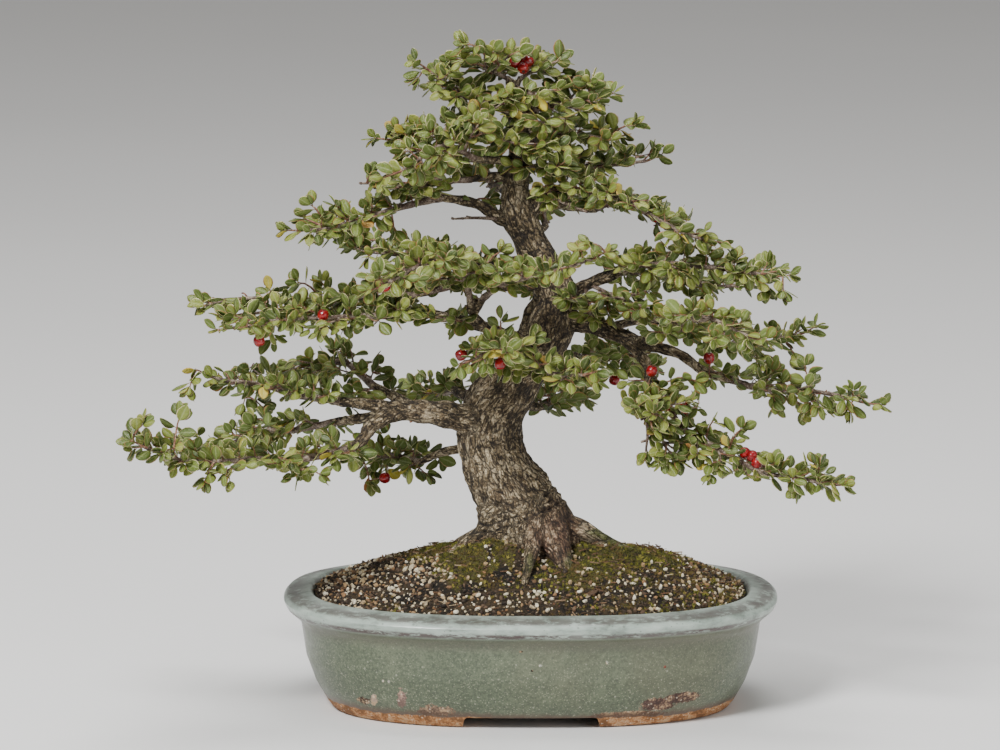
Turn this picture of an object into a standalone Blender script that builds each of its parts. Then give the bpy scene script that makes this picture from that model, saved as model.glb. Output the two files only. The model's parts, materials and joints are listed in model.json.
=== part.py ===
"""Cotoneaster bonsai in an oval glazed pot.

The pieces are the pot, two drainage meshes, the soil, the wood (trunk, surface roots and main
branches) and the leafy sprays. Each spray starts on the flat end of a branch, a hair's breadth off it.
All sizes are in metres, +Z is up, and the plant stands with its box's middle on the origin.
"""

import math
import random
from collections import namedtuple

import bmesh
import bpy
from mathutils import Matrix, Quaternion, Vector
from mathutils.bvhtree import BVHTree

SEAT_GAP = 0.0003

# Pot: an oval whose middle lies to the right of the whole plant's middle
POT_X = 0.015
POT_HALF_WIDTH = 0.140
POT_HALF_DEPTH = 0.100
OVAL_POWER = 2.5
OVAL_SIDES = 32
RIM_Z = 0.066
FLOOR_Z = 0.0125
UNDERSIDE_Z = 0.0078
FOOT_INNER, FOOT_OUTER = 0.036, 0.0272
RIM_INNER, WALL_INNER, FLOOR_INNER = 0.0175, 0.0195, 0.025
WALL_INNER_Z = 0.035

# How far in from the lip's widest line each turn of the pot's outline lies, and how high
POT_PROFILE = (
    (0.0372, UNDERSIDE_Z),
    (FOOT_INNER, 0.0),
    (FOOT_OUTER, 0.0),
    (0.0243, 0.0035),
    (0.0178, 0.015),
    (0.0127, 0.029),
    (0.0093, 0.047),
    (0.0048, 0.0515),
    (0.0010, 0.056),
    (0.0, 0.061),
    (0.0028, 0.0638),
    (0.0070, 0.0645),
    (0.0152, RIM_Z),
    (RIM_INNER, 0.0635),
    (WALL_INNER, WALL_INNER_Z),
    (FLOOR_INNER, FLOOR_Z),
)

# Gap between the two feet, front and back, and the drain holes with their meshes
FEET_GAP_LOW, FEET_GAP_HIGH = 0.0397, 0.0368
FEET_GAP_Z = 0.0063
DRAIN_RADIUS = 0.011
DRAIN_SPREAD = 0.055
MESH_SIDE = 0.034
MESH_THICK = 0.0012
MESH_HOLE = 0.0065
MESH_PITCH = 0.0095

# Soil: a low dome up to the roots
SOIL_EDGE_Z = 0.0615
SOIL_RISE = 0.0205
SOIL_RINGS = (0.82, 0.55, 0.25)
SOIL_ROUGH = 0.0007

# Trunk centre line from its foot in the soil to the apex, with the radius at each point
TRUNK = (
    ((0.016, 0.000, 0.058), 0.0200),
    ((0.016, 0.000, 0.080), 0.0250),
    ((0.013, 0.000, 0.098), 0.0255),
    ((0.008, 0.001, 0.110), 0.0245),
    ((0.002, 0.002, 0.124), 0.0230),
    ((-0.005, 0.004, 0.136), 0.0205),
    ((-0.009, 0.005, 0.150), 0.0195),
    ((-0.007, 0.005, 0.163), 0.0182),
    ((0.001, 0.004, 0.176), 0.0168),
    ((0.010, 0.002, 0.189), 0.0145),
    ((0.020, 0.000, 0.203), 0.0147),
    ((0.026, 0.000, 0.217), 0.0152),
    ((0.029, 0.000, 0.230), 0.0126),
    ((0.026, -0.002, 0.242), 0.0113),
    ((0.018, -0.004, 0.256), 0.0100),
    ((0.013, -0.006, 0.267), 0.0090),
    ((0.008, -0.008, 0.279), 0.0102),
    ((0.006, -0.009, 0.292), 0.0080),
    ((0.008, -0.011, 0.307), 0.0069),
    ((0.009, -0.012, 0.319), 0.0060),
    ((0.007, -0.014, 0.334), 0.0046),
    ((0.005, -0.015, 0.345), 0.0035),
    ((0.003, -0.017, 0.356), 0.0026),
)
TRUNK_SIDES = 10
TRUNK_LOBES = 0.07
BURL = ((0.027, -0.004, 0.118), 0.0085)

# Surface roots, from inside the trunk's foot down into the soil
ROOTS = (
    ((0.000, -0.004, 0.102), (-0.022, -0.010, 0.090), (-0.038, -0.016, 0.081), (-0.052, -0.022, 0.070)),
    ((0.006, -0.008, 0.102), (-0.006, -0.028, 0.089), (-0.012, -0.042, 0.080), (-0.018, -0.056, 0.068)),
    ((0.016, -0.010, 0.100), (0.014, -0.032, 0.087), (0.009, -0.047, 0.079), (0.006, -0.058, 0.067)),
    ((0.026, -0.006, 0.100), (0.040, -0.024, 0.088), (0.052, -0.036, 0.079), (0.062, -0.046, 0.068)),
    ((0.028, 0.000, 0.102), (0.048, -0.002, 0.093), (0.064, -0.006, 0.083), (0.080, -0.010, 0.070)),
    ((0.024, 0.008, 0.098), (0.040, 0.026, 0.087), (0.050, 0.038, 0.079), (0.060, 0.048, 0.067)),
    ((0.012, 0.012, 0.098), (0.008, 0.034, 0.086), (0.004, 0.048, 0.078), (0.000, 0.058, 0.066)),
    ((0.002, 0.010, 0.098), (-0.016, 0.028, 0.087), (-0.028, 0.038, 0.079), (-0.040, 0.048, 0.067)),
)
ROOT_RADII = (0.0095, 0.0072, 0.0052, 0.0032)
ROOT_SIDES = 5

# Branches: the wooden run from inside the trunk or a bigger branch to its cut end, the leafy run
# that goes on from there, the radius at the root, the cut and the tip, and the number of berries
Branch = namedtuple("Branch", "name wood leafy radii berries")
BRANCHES = (
    Branch(
        "low_left",
        ((-0.007, 0.004, 0.156), (-0.024, -0.004, 0.163), (-0.044, -0.013, 0.168), (-0.065, -0.020, 0.170)),
        (),
        (0.0100, 0.0074, 0.0052),
        0,
    ),
    Branch(
        "low_left_droop",
        ((-0.059, -0.019, 0.169), (-0.073, -0.032, 0.164), (-0.079, -0.042, 0.157), (-0.088, -0.050, 0.152)),
        (
            (-0.108, -0.060, 0.148),
            (-0.132, -0.072, 0.148),
            (-0.154, -0.084, 0.149),
            (-0.177, -0.095, 0.154),
            (-0.202, -0.107, 0.166),
        ),
        (0.0050, 0.0026, 0.0009),
        1,
    ),
    Branch(
        "low_left_back",
        ((-0.057, -0.017, 0.169), (-0.078, -0.004, 0.163), (-0.096, 0.012, 0.158)),
        ((-0.116, 0.028, 0.151), (-0.139, 0.042, 0.146), (-0.162, 0.056, 0.142), (-0.185, 0.067, 0.144)),
        (0.0040, 0.0024, 0.0009),
        1,
    ),
    Branch(
        "left_main",
        ((-0.061, -0.019, 0.170), (-0.077, -0.024, 0.174), (-0.093, -0.027, 0.176)),
        (
            (-0.114, -0.031, 0.178),
            (-0.135, -0.036, 0.182),
            (-0.154, -0.039, 0.186),
            (-0.171, -0.042, 0.190),
        ),
        (0.0045, 0.0026, 0.0009),
        0,
    ),
    Branch(
        "left_main_back",
        ((-0.047, -0.014, 0.168), (-0.060, 0.002, 0.173), (-0.075, 0.018, 0.178)),
        ((-0.096, 0.036, 0.182), (-0.120, 0.054, 0.181), (-0.142, 0.070, 0.178)),
        (0.0036, 0.0024, 0.0009),
        1,
    ),
    Branch(
        "low_inner_left",
        ((-0.008, 0.006, 0.145), (-0.033, 0.024, 0.139), (-0.049, 0.036, 0.130)),
        ((-0.061, 0.048, 0.124), (-0.075, 0.064, 0.120)),
        (0.0032, 0.0020, 0.0009),
        1,
    ),
    Branch(
        "back_left",
        ((-0.004, 0.006, 0.169), (-0.022, 0.034, 0.169), (-0.029, 0.054, 0.170)),
        ((-0.037, 0.082, 0.169), (-0.046, 0.108, 0.168)),
        (0.0040, 0.0024, 0.0009),
        0,
    ),
    Branch(
        "left_second",
        ((0.020, 0.000, 0.202), (0.002, -0.008, 0.210), (-0.016, -0.015, 0.218), (-0.045, -0.023, 0.226)),
        (
            (-0.066, -0.032, 0.224),
            (-0.090, -0.040, 0.223),
            (-0.114, -0.046, 0.221),
            (-0.136, -0.050, 0.219),
        ),
        (0.0050, 0.0026, 0.0009),
        2,
    ),
    Branch(
        "left_upper",
        ((0.025, -0.002, 0.240), (0.006, -0.020, 0.241), (-0.013, -0.028, 0.242), (-0.032, -0.032, 0.242)),
        (
            (-0.055, -0.028, 0.235),
            (-0.083, -0.018, 0.232),
            (-0.114, -0.008, 0.231),
            (-0.144, 0.000, 0.231),
        ),
        (0.0042, 0.0024, 0.0009),
        1,
    ),
    Branch(
        "front_left",
        ((-0.010, -0.012, 0.215), (-0.018, -0.024, 0.226), (-0.019, -0.038, 0.237)),
        ((-0.029, -0.062, 0.251), (-0.046, -0.086, 0.260), (-0.065, -0.113, 0.264)),
        (0.0028, 0.0021, 0.0009),
        0,
    ),
    Branch(
        "front_middle",
        ((-0.017, -0.022, 0.225), (-0.011, -0.038, 0.237)),
        ((0.004, -0.062, 0.249), (0.022, -0.084, 0.256), (0.040, -0.102, 0.265)),
        (0.0026, 0.0021, 0.0009),
        0,
    ),
    Branch(
        "left_third",
        ((0.009, -0.007, 0.275), (-0.002, -0.012, 0.277), (-0.015, -0.017, 0.286), (-0.036, -0.024, 0.291)),
        (
            (-0.051, -0.028, 0.286),
            (-0.072, -0.033, 0.279),
            (-0.094, -0.037, 0.279),
            (-0.110, -0.040, 0.282),
        ),
        (0.0044, 0.0025, 0.0009),
        0,
    ),
    Branch(
        "left_third_back",
        ((0.018, -0.003, 0.254), (-0.003, 0.014, 0.249), (-0.027, 0.028, 0.249)),
        ((-0.053, 0.038, 0.250), (-0.081, 0.046, 0.252), (-0.104, 0.052, 0.256)),
        (0.0034, 0.0022, 0.0009),
        0,
    ),
    Branch(
        "left_fourth",
        ((0.007, -0.010, 0.298), (-0.006, -0.017, 0.302), (-0.020, -0.022, 0.300)),
        ((-0.040, -0.027, 0.299), (-0.058, -0.031, 0.301)),
        (0.0030, 0.0020, 0.0009),
        0,
    ),
    Branch(
        "left_fourth_front",
        ((0.008, -0.012, 0.310), (-0.005, -0.028, 0.312), (-0.017, -0.040, 0.314)),
        ((-0.035, -0.054, 0.316), (-0.052, -0.066, 0.319)),
        (0.0030, 0.0020, 0.0009),
        0,
    ),
    Branch(
        "left_fifth",
        ((0.008, -0.012, 0.317), (-0.003, -0.014, 0.322), (-0.019, -0.016, 0.329)),
        ((-0.036, -0.018, 0.327), (-0.053, -0.019, 0.324), (-0.070, -0.020, 0.325)),
        (0.0030, 0.0020, 0.0009),
        1,
    ),
    Branch(
        "left_sixth",
        ((0.006, -0.014, 0.337), (-0.003, -0.016, 0.340), (-0.011, -0.017, 0.344)),
        ((-0.025, -0.019, 0.351), (-0.037, -0.020, 0.357), (-0.047, -0.021, 0.362)),
        (0.0030, 0.0020, 0.0009),
        0,
    ),
    Branch(
        "apex_left",
        ((0.004, -0.016, 0.347), (0.002, -0.018, 0.358)),
        ((-0.004, -0.022, 0.364), (-0.014, -0.029, 0.366)),
        (0.0020, 0.0015, 0.0008),
        1,
    ),
    Branch(
        "apex_right",
        ((0.005, -0.015, 0.345), (0.009, -0.012, 0.357)),
        ((0.018, -0.008, 0.367), (0.029, -0.002, 0.368)),
        (0.0020, 0.0015, 0.0008),
        0,
    ),
    Branch(
        "right_sixth",
        ((0.005, -0.015, 0.339), (0.017, -0.012, 0.339), (0.028, -0.009, 0.341)),
        ((0.042, -0.005, 0.344), (0.060, 0.000, 0.348)),
        (0.0030, 0.0020, 0.0009),
        0,
    ),
    Branch(
        "right_fifth",
        ((0.008, -0.012, 0.320), (0.017, -0.008, 0.323), (0.026, -0.005, 0.325)),
        ((0.042, 0.002, 0.324), (0.064, 0.008, 0.328)),
        (0.0030, 0.0020, 0.0009),
        0,
    ),
    Branch(
        "right_fourth",
        ((0.008, -0.011, 0.304), (0.021, -0.003, 0.305), (0.037, 0.004, 0.306)),
        ((0.057, 0.010, 0.305), (0.074, 0.014, 0.306), (0.088, 0.018, 0.308)),
        (0.0030, 0.0020, 0.0009),
        0,
    ),
    Branch(
        "right_third",
        ((0.010, -0.007, 0.274), (0.018, -0.010, 0.283), (0.025, -0.013, 0.292), (0.038, -0.017, 0.295)),
        ((0.056, -0.023, 0.287), (0.078, -0.028, 0.280), (0.103, -0.033, 0.273), (0.117, -0.036, 0.273)),
        (0.0046, 0.0024, 0.0009),
        0,
    ),
    Branch(
        "right_third_back",
        ((0.023, -0.012, 0.289), (0.036, 0.006, 0.282), (0.052, 0.022, 0.278)),
        ((0.072, 0.040, 0.274), (0.094, 0.056, 0.272)),
        (0.0034, 0.0022, 0.0009),
        0,
    ),
    Branch(
        "right_second_back",
        ((0.029, 0.000, 0.228), (0.045, 0.016, 0.235), (0.061, 0.030, 0.241)),
        ((0.086, 0.042, 0.243), (0.112, 0.052, 0.238), (0.136, 0.058, 0.227), (0.160, 0.062, 0.223)),
        (0.0046, 0.0024, 0.0009),
        1,
    ),
    Branch(
        "right_second",
        ((0.045, 0.016, 0.235), (0.061, 0.000, 0.243), (0.074, -0.012, 0.252)),
        ((0.095, -0.022, 0.258), (0.117, -0.030, 0.260), (0.135, -0.034, 0.259)),
        (0.0030, 0.0020, 0.0009),
        0,
    ),
    Branch(
        "right_first",
        ((0.029, 0.000, 0.219), (0.049, -0.010, 0.217), (0.068, -0.019, 0.211), (0.083, -0.025, 0.207)),
        (),
        (0.0065, 0.0044, 0.0034),
        0,
    ),
    Branch(
        "right_outer",
        ((0.079, -0.024, 0.208), (0.098, -0.028, 0.203), (0.111, -0.031, 0.194), (0.125, -0.034, 0.190)),
        ((0.145, -0.039, 0.183), (0.167, -0.043, 0.181), (0.189, -0.047, 0.181), (0.206, -0.049, 0.179)),
        (0.0034, 0.0023, 0.0009),
        0,
    ),
    Branch(
        "right_droop",
        ((0.065, -0.018, 0.212), (0.077, -0.031, 0.202), (0.082, -0.042, 0.193), (0.086, -0.050, 0.185)),
        (
            (0.098, -0.062, 0.167),
            (0.118, -0.072, 0.155),
            (0.141, -0.082, 0.145),
            (0.165, -0.090, 0.143),
            (0.183, -0.095, 0.141),
        ),
        (0.0036, 0.0023, 0.0009),
        3,
    ),
    Branch(
        "right_low_front",
        ((0.081, -0.038, 0.196), (0.080, -0.052, 0.187), (0.076, -0.062, 0.181)),
        ((0.075, -0.078, 0.174), (0.072, -0.094, 0.167)),
        (0.0030, 0.0020, 0.0009),
        0,
    ),
    Branch(
        "right_middle",
        ((0.057, -0.014, 0.215), (0.076, 0.000, 0.218), (0.093, 0.012, 0.215)),
        ((0.114, 0.020, 0.209), (0.140, 0.026, 0.200), (0.165, 0.030, 0.203)),
        (0.0030, 0.0020, 0.0009),
        1,
    ),
    Branch(
        "right_middle_front",
        ((0.076, -0.024, 0.210), (0.088, -0.040, 0.216), (0.099, -0.054, 0.221)),
        ((0.116, -0.072, 0.223), (0.133, -0.088, 0.224)),
        (0.0030, 0.0020, 0.0009),
        1,
    ),
    Branch(
        "back_right",
        ((0.022, 0.004, 0.203), (0.035, 0.036, 0.193), (0.048, 0.058, 0.186)),
        ((0.063, 0.087, 0.179), (0.077, 0.113, 0.172)),
        (0.0040, 0.0024, 0.0009),
        1,
    ),
    Branch(
        "back_low",
        ((0.001, 0.006, 0.170), (0.015, 0.036, 0.163), (0.024, 0.058, 0.159)),
        ((0.036, 0.082, 0.157), (0.048, 0.106, 0.154)),
        (0.0036, 0.0023, 0.0009),
        1,
    ),
    Branch(
        "front_low_left",
        ((0.017, 0.000, 0.200), (0.011, -0.024, 0.200), (0.005, -0.042, 0.200)),
        ((-0.007, -0.062, 0.203), (-0.021, -0.080, 0.207)),
        (0.0030, 0.0020, 0.0009),
        2,
    ),
    Branch(
        "front_low_right",
        ((0.012, -0.020, 0.200), (0.017, -0.036, 0.198)),
        ((0.028, -0.056, 0.196), (0.042, -0.074, 0.197)),
        (0.0030, 0.0020, 0.0009),
        0,
    ),
    Branch(
        "back_middle",
        ((0.028, 0.000, 0.226), (0.028, 0.036, 0.228), (0.028, 0.066, 0.227)),
        ((0.026, 0.090, 0.225), (0.022, 0.110, 0.224)),
        (0.0038, 0.0023, 0.0009),
        1,
    ),
    Branch(
        "back_upper",
        ((0.015, -0.005, 0.263), (0.020, 0.026, 0.265), (0.024, 0.048, 0.265)),
        ((0.029, 0.074, 0.265), (0.032, 0.098, 0.264)),
        (0.0030, 0.0020, 0.0009),
        0,
    ),
    Branch(
        "back_high",
        ((0.007, -0.009, 0.290), (-0.001, 0.016, 0.290), (-0.008, 0.036, 0.290)),
        ((-0.015, 0.060, 0.289), (-0.021, 0.082, 0.287)),
        (0.0030, 0.0020, 0.0009),
        0,
    ),
    Branch(
        "back_top",
        ((0.008, -0.012, 0.317), (0.012, 0.008, 0.320), (0.015, 0.026, 0.322)),
        ((0.017, 0.046, 0.323), (0.019, 0.066, 0.323)),
        (0.0030, 0.0020, 0.0009),
        0,
    ),
)
BRANCH_SIDES, THICK_BRANCH_SIDES = 4, 6
THICK_BRANCH = 0.0042

# Leafy sprays: four-sided stems and twigs, with blades and twigs pushed out of their sides
SITE_SPACING, FEWEST_SITES = 0.034, 2
SITE_LENGTH = 0.0024
FIRST_SITE = 0.004
LAST_INTERNODE = 0.0022
SITES = (
    (("left", "twig"), ("right", "leaf")),
    (("right", "twig"), ("top", "leaf")),
    (("left", "twig"), ("right", "leaf")),
    (("right", "twig"), ("left", "leaf")),
    (("top", "twig"),),
)
LEAF_LEAN = 0.72
TWIG_HALF = 0.0008
TWIG_INTERNODE, TWIG_END = 0.0032, 0.0019
TWIG_CLEAR_OF_STEM, TWIG_START_SHARE = 0.002, 0.08
TWIG_LEAN, TWIG_LIFT, TWIG_WANDER = (0.4, 0.9), (0.0, 0.35), 0.12
BLADE_LENGTHS = (0.0100, 0.0124)
BLADE_WIDTH_SHARE = 0.70
BLADE_THICK = 0.0007
BLADE_WIDEST = 0.55
BLADE_TIP_SHARE = 0.46
BLADE_ARCH = 0.09
BLADE_ROOT_SHARE, BLADE_START_SHARE = 0.16, 0.03
BLADE_LIFT, BLADE_WANDER, BLADE_TWIST = (-0.05, 0.35), 0.15, 0.45
BERRY_RADIUS = 0.0033
BERRY_SUNK = 0.0011
BERRY_DROP = -1.4
PERCH_SHARE = 0.6

# How clear a new leaf or twig stays of other stems and of its own, and how often it tries to
CLEARANCE, OWN_CLEARANCE = 0.0006, 0.0002
TRIES, MORE_WANDER = 18, 0.04

# Edges sharper than this many degrees stay sharp
POT_SMOOTH, SOIL_SMOOTH, WOOD_SMOOTH, LEAF_SMOOTH = 38, 50, 60, 35

UP = Vector((0, 0, 1))
BARK, LEAF, BERRY = 0, 1, 2


def clear_scene():
    for obj in list(bpy.data.objects):
        bpy.data.objects.remove(obj, do_unlink=True)


def material(name, colour, roughness, metallic=0.0):
    made = bpy.data.materials.new(name)
    made.use_nodes = True
    shader = made.node_tree.nodes["Principled BSDF"]
    shader.inputs["Base Color"].default_value = (*colour, 1.0)
    shader.inputs["Roughness"].default_value = roughness
    shader.inputs["Metallic"].default_value = metallic
    made.diffuse_color = (*colour, 1.0)
    return made


def mesh_object(name, shape, materials, slot=0):
    points, faces = shape
    mesh = bpy.data.meshes.new(name)
    mesh.from_pydata([tuple(point) for point in points], [], faces)
    for finish in materials:
        mesh.materials.append(finish)
    mesh.polygons.foreach_set("material_index", [slot] * len(mesh.polygons))
    obj = bpy.data.objects.new(name, mesh)
    bpy.context.scene.collection.objects.link(obj)
    return obj


# Shapes are pairs of points and faces, so that they can be tested before they become objects


def loft(rings):
    """A closed shape through rings of equal count, each counter-clockwise seen from the last."""
    count = len(rings[0])
    points = [point for ring in rings for point in ring]
    faces = [tuple(range(count))[::-1]]
    for level in range(len(rings) - 1):
        low, high = level * count, (level + 1) * count
        for k in range(count):
            after = (k + 1) % count
            faces.append((low + k, low + after, high + after, high + k))
    faces.append(tuple(range(len(points) - count, len(points))))
    return points, faces


def directions(points, first, last):
    """The way a line runs at each of its points, with its ends set where given."""
    ways = [(b - a).normalized() for a, b in zip(points, points[1:])]
    inner = [(a + b).normalized() for a, b in zip(ways, ways[1:])]
    return [first or ways[0]] + inner + [last or ways[-1]]


def tube(points, radii, sides, first=None, last=None, lobes=None):
    """A tube along points; lobes holds a share of the radius for each corner of each ring."""
    across = directions(points, first, last)[0].orthogonal().normalized()
    rings = []
    for level, way in enumerate(directions(points, first, last)):
        across = (across - way * across.dot(way)).normalized()
        over = way.cross(across)
        ring = []
        for k in range(sides):
            angle = 2 * math.pi * k / sides
            reach = radii[level] * (lobes[level][k] if lobes else 1)
            ring.append(points[level] + (across * math.cos(angle) + over * math.sin(angle)) * reach)
        rings.append(ring)
    return loft(rings)


def ball(centre, radius, subdivisions=1):
    builder = bmesh.new()
    bmesh.ops.create_icosphere(
        builder, subdivisions=subdivisions, radius=radius, matrix=Matrix.Translation(centre)
    )
    points = [vertex.co.copy() for vertex in builder.verts]
    faces = [tuple(vertex.index for vertex in face.verts) for face in builder.faces]
    builder.free()
    return points, faces


def tree_of(shape):
    return BVHTree.FromPolygons(*shape)


# Joining and cutting


def apply_modifier(obj, modifier):
    bpy.context.view_layer.objects.active = obj
    bpy.ops.object.modifier_apply(modifier=modifier.name)


def keep_largest_body(obj):
    """Drops loose scraps, and the walls of any hollow that a union sealed."""
    builder = bmesh.new()
    builder.from_mesh(obj.data)
    waiting = set(builder.verts)
    largest = []
    while waiting:
        group = [waiting.pop()]
        for vertex in group:
            for edge in vertex.link_edges:
                other = edge.other_vert(vertex)
                if other in waiting:
                    waiting.remove(other)
                    group.append(other)
        if len(group) > len(largest):
            largest = group
    kept = set(largest)
    bmesh.ops.delete(builder, geom=[v for v in builder.verts if v not in kept], context="VERTS")
    builder.to_mesh(obj.data)
    builder.free()


def boolean(obj, pieces, operation, solver="EXACT"):
    """Joins pieces to obj, or cuts them out of it, and removes them."""
    group = bpy.data.collections.new(obj.name + "_pieces")
    bpy.context.scene.collection.children.link(group)
    for piece in pieces:
        bpy.context.scene.collection.objects.unlink(piece)
        group.objects.link(piece)
    modifier = obj.modifiers.new(operation.lower(), "BOOLEAN")
    modifier.operation = operation
    modifier.operand_type = "COLLECTION"
    modifier.collection = group
    modifier.solver = solver
    apply_modifier(obj, modifier)
    for piece in pieces:
        bpy.data.objects.remove(piece, do_unlink=True)
    bpy.data.collections.remove(group)
    keep_largest_body(obj)


def fused(name, shapes, materials):
    """One object from (shape, material slot) pairs, joined into one body."""
    objects = [mesh_object(name, shape, materials, slot) for shape, slot in shapes]
    if len(objects) > 1:
        boolean(objects[0], objects[1:], "UNION")
    objects[0].name = name
    objects[0].data.name = name
    return objects[0]


def shade_smooth(obj, sharp_angle):
    obj.data.shade_smooth()
    obj.data.set_sharp_from_angle(angle=math.radians(sharp_angle))


# Pot, meshes and soil


def signed_power(value, power):
    return math.copysign(abs(value) ** power, value)


def oval_ring(inset, z, share=1.0):
    """The pot's outline, drawn in by inset and then shrunk to share of its size."""
    ring = []
    for k in range(OVAL_SIDES):
        angle = 2 * math.pi * k / OVAL_SIDES
        x = (POT_HALF_WIDTH - inset) * signed_power(math.cos(angle), 2 / OVAL_POWER)
        y = (POT_HALF_DEPTH - inset) * signed_power(math.sin(angle), 2 / OVAL_POWER)
        height = z(POT_X + x * share, y * share) if callable(z) else z
        ring.append(Vector((POT_X + x * share, y * share, height)))
    return ring


def feet_gap():
    """The opening under the pot from front to back, wider at the bottom, as the feet slope."""
    reach = POT_HALF_DEPTH
    depth = 0.002
    spread = (FEET_GAP_LOW - FEET_GAP_HIGH) / FEET_GAP_Z * depth
    section = (
        (-FEET_GAP_LOW - spread, -depth),
        (-FEET_GAP_HIGH, FEET_GAP_Z),
        (FEET_GAP_HIGH, FEET_GAP_Z),
        (FEET_GAP_LOW + spread, -depth),
    )
    return loft([[Vector((POT_X + x, y, z)) for x, z in section] for y in (-reach, reach)])


def drain_hole(x):
    low, high = Vector((x, 0, 0.0)), Vector((x, 0, FLOOR_Z + UNDERSIDE_Z))
    return tube([low, high], [DRAIN_RADIUS] * 2, 12)


def make_pot(glaze):
    pot = mesh_object("pot", loft([oval_ring(inset, z) for inset, z in POT_PROFILE]), [glaze])
    places = (POT_X - DRAIN_SPREAD, POT_X + DRAIN_SPREAD)
    holes = [mesh_object("drain_hole", drain_hole(x), [glaze]) for x in places]
    gap = mesh_object("feet_gap", feet_gap(), [glaze])
    boolean(pot, holes + [gap], "DIFFERENCE")
    shade_smooth(pot, POT_SMOOTH)


def box(centre_x, side, low, high):
    half = side / 2
    corners = ((-half, -half), (half, -half), (half, half), (-half, half))
    return loft([[Vector((centre_x + x, y, z)) for x, y in corners] for z in (low, high)])


def make_drainage_mesh(name, x, plastic):
    """A square of mesh over a drain hole, held down by the soil."""
    low = FLOOR_Z + SEAT_GAP
    plate = mesh_object(name, box(x, MESH_SIDE, low, low + MESH_THICK), [plastic])
    holes = []
    for column in (-1, 0, 1):
        for row in (-1, 0, 1):
            hole = box(x + column * MESH_PITCH, MESH_HOLE, low - MESH_THICK, low + 2 * MESH_THICK)
            points = [point + Vector((0, row * MESH_PITCH, 0)) for point in hole[0]]
            holes.append(mesh_object("mesh_hole", (points, hole[1]), [plastic]))
    boolean(plate, holes, "DIFFERENCE")


def soil_height(x, y):
    """A dome that is highest round the trunk's foot, with small waves."""
    half_width, half_depth = POT_HALF_WIDTH - RIM_INNER, POT_HALF_DEPTH - RIM_INNER
    across, along = abs((x - POT_X) / half_width), abs(y / half_depth)
    reach = (across**OVAL_POWER + along**OVAL_POWER) ** (1 / OVAL_POWER)
    waves = math.sin(x * 90 + 1) * math.cos(y * 120) + math.sin(x * 210) * math.sin(y * 170 + 2)
    fall = min(reach, 1.0) ** 2.4
    return SOIL_EDGE_Z + SOIL_RISE * (1 - fall) + SOIL_ROUGH * waves * (1 - fall)


def make_soil(earth, wood_cutter):
    gap = SEAT_GAP + 0.0001
    top_inset = RIM_INNER + (WALL_INNER - RIM_INNER) * (0.0635 - SOIL_EDGE_Z) / (0.0635 - WALL_INNER_Z) + gap
    rings = [
        oval_ring(FLOOR_INNER + gap, FLOOR_Z + gap),
        oval_ring(WALL_INNER + gap, WALL_INNER_Z),
        oval_ring(top_inset, SOIL_EDGE_Z),
    ]
    rings += [oval_ring(top_inset, soil_height, share) for share in SOIL_RINGS]
    soil = mesh_object("soil", loft(rings), [earth])
    cutters = [wood_cutter]
    for x in (-DRAIN_SPREAD, DRAIN_SPREAD):
        seat = box(POT_X + x, MESH_SIDE + 2 * gap, 0.0, FLOOR_Z + MESH_THICK + 2 * gap)
        cutters.append(mesh_object("mesh_seat", seat, [earth]))
    boolean(soil, cutters, "DIFFERENCE")
    shade_smooth(soil, SOIL_SMOOTH)


# Wood


def trunk_lobes():
    """Shares of the trunk's radius at each corner: soft flutes that turn as they climb."""
    rng = random.Random(11)
    lobes = []
    for level in range(len(TRUNK)):
        turn = 0.35 * level
        ring = []
        for k in range(TRUNK_SIDES):
            angle = 2 * math.pi * k / TRUNK_SIDES
            wave = TRUNK_LOBES * math.sin(3 * angle + turn) + 0.5 * TRUNK_LOBES * math.sin(2 * angle - turn)
            ring.append(1 + wave + rng.uniform(-0.03, 0.03))
        lobes.append(ring)
    return lobes


def trunk_shape(margin=0.0):
    points = [Vector(place) for place, _ in TRUNK]
    points[0] -= UP * margin
    radii = [radius + 1.1 * margin for _, radius in TRUNK]
    return tube(points, radii, TRUNK_SIDES, first=UP, lobes=trunk_lobes())


def root_shapes(margin=0.0):
    shapes = []
    for root in ROOTS:
        points = [Vector(place) for place in root]
        points[-1] += (points[-1] - points[-2]).normalized() * margin
        shapes.append(tube(points, [radius + margin for radius in ROOT_RADII], ROOT_SIDES))
    return shapes


def joint_way(branch):
    """The way a branch runs where its leafy part starts."""
    if not branch.leafy:
        return None
    return (Vector(branch.leafy[0]) - Vector(branch.wood[-2])).normalized()


def limb_shape(branch):
    points = [Vector(place) for place in branch.wood]
    start, cut, _ = branch.radii
    radii = [start + (cut - start) * k / (len(points) - 1) for k in range(len(points))]
    sides = THICK_BRANCH_SIDES if start > THICK_BRANCH else BRANCH_SIDES
    return tube(points, radii, sides, last=joint_way(branch))


def make_wood(bark):
    shapes = [trunk_shape(), ball(Vector(BURL[0]), BURL[1])] + root_shapes()
    shapes += [limb_shape(branch) for branch in BRANCHES]
    wood = fused("trunk", [(shape, BARK) for shape in shapes], [bark])
    shade_smooth(wood, WOOD_SMOOTH)
    return shapes


def make_wood_cutter(bark):
    margin = SEAT_GAP + 0.0001
    shapes = [trunk_shape(margin)] + root_shapes(margin)
    return fused("wood_cutter", [(shape, BARK) for shape in shapes], [bark])


# Leafy sprays


def place_on(points, distance):
    """The point this far along a line of points, and the way the line runs there."""
    for a, b in zip(points, points[1:]):
        run = (b - a).length
        if distance <= run or b is points[-1]:
            break
        distance -= run
    way = (b - a).normalized()
    return a + way * min(distance, run), way


def square(centre, way, half):
    """Four corners round a centre, counter-clockwise seen from ahead, with one side facing up."""
    side = UP.cross(way).normalized()
    top = way.cross(side)
    return [centre + side * (half * s) + top * (half * t) for s, t in ((1, 1), (-1, 1), (-1, -1), (1, -1))]


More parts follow.
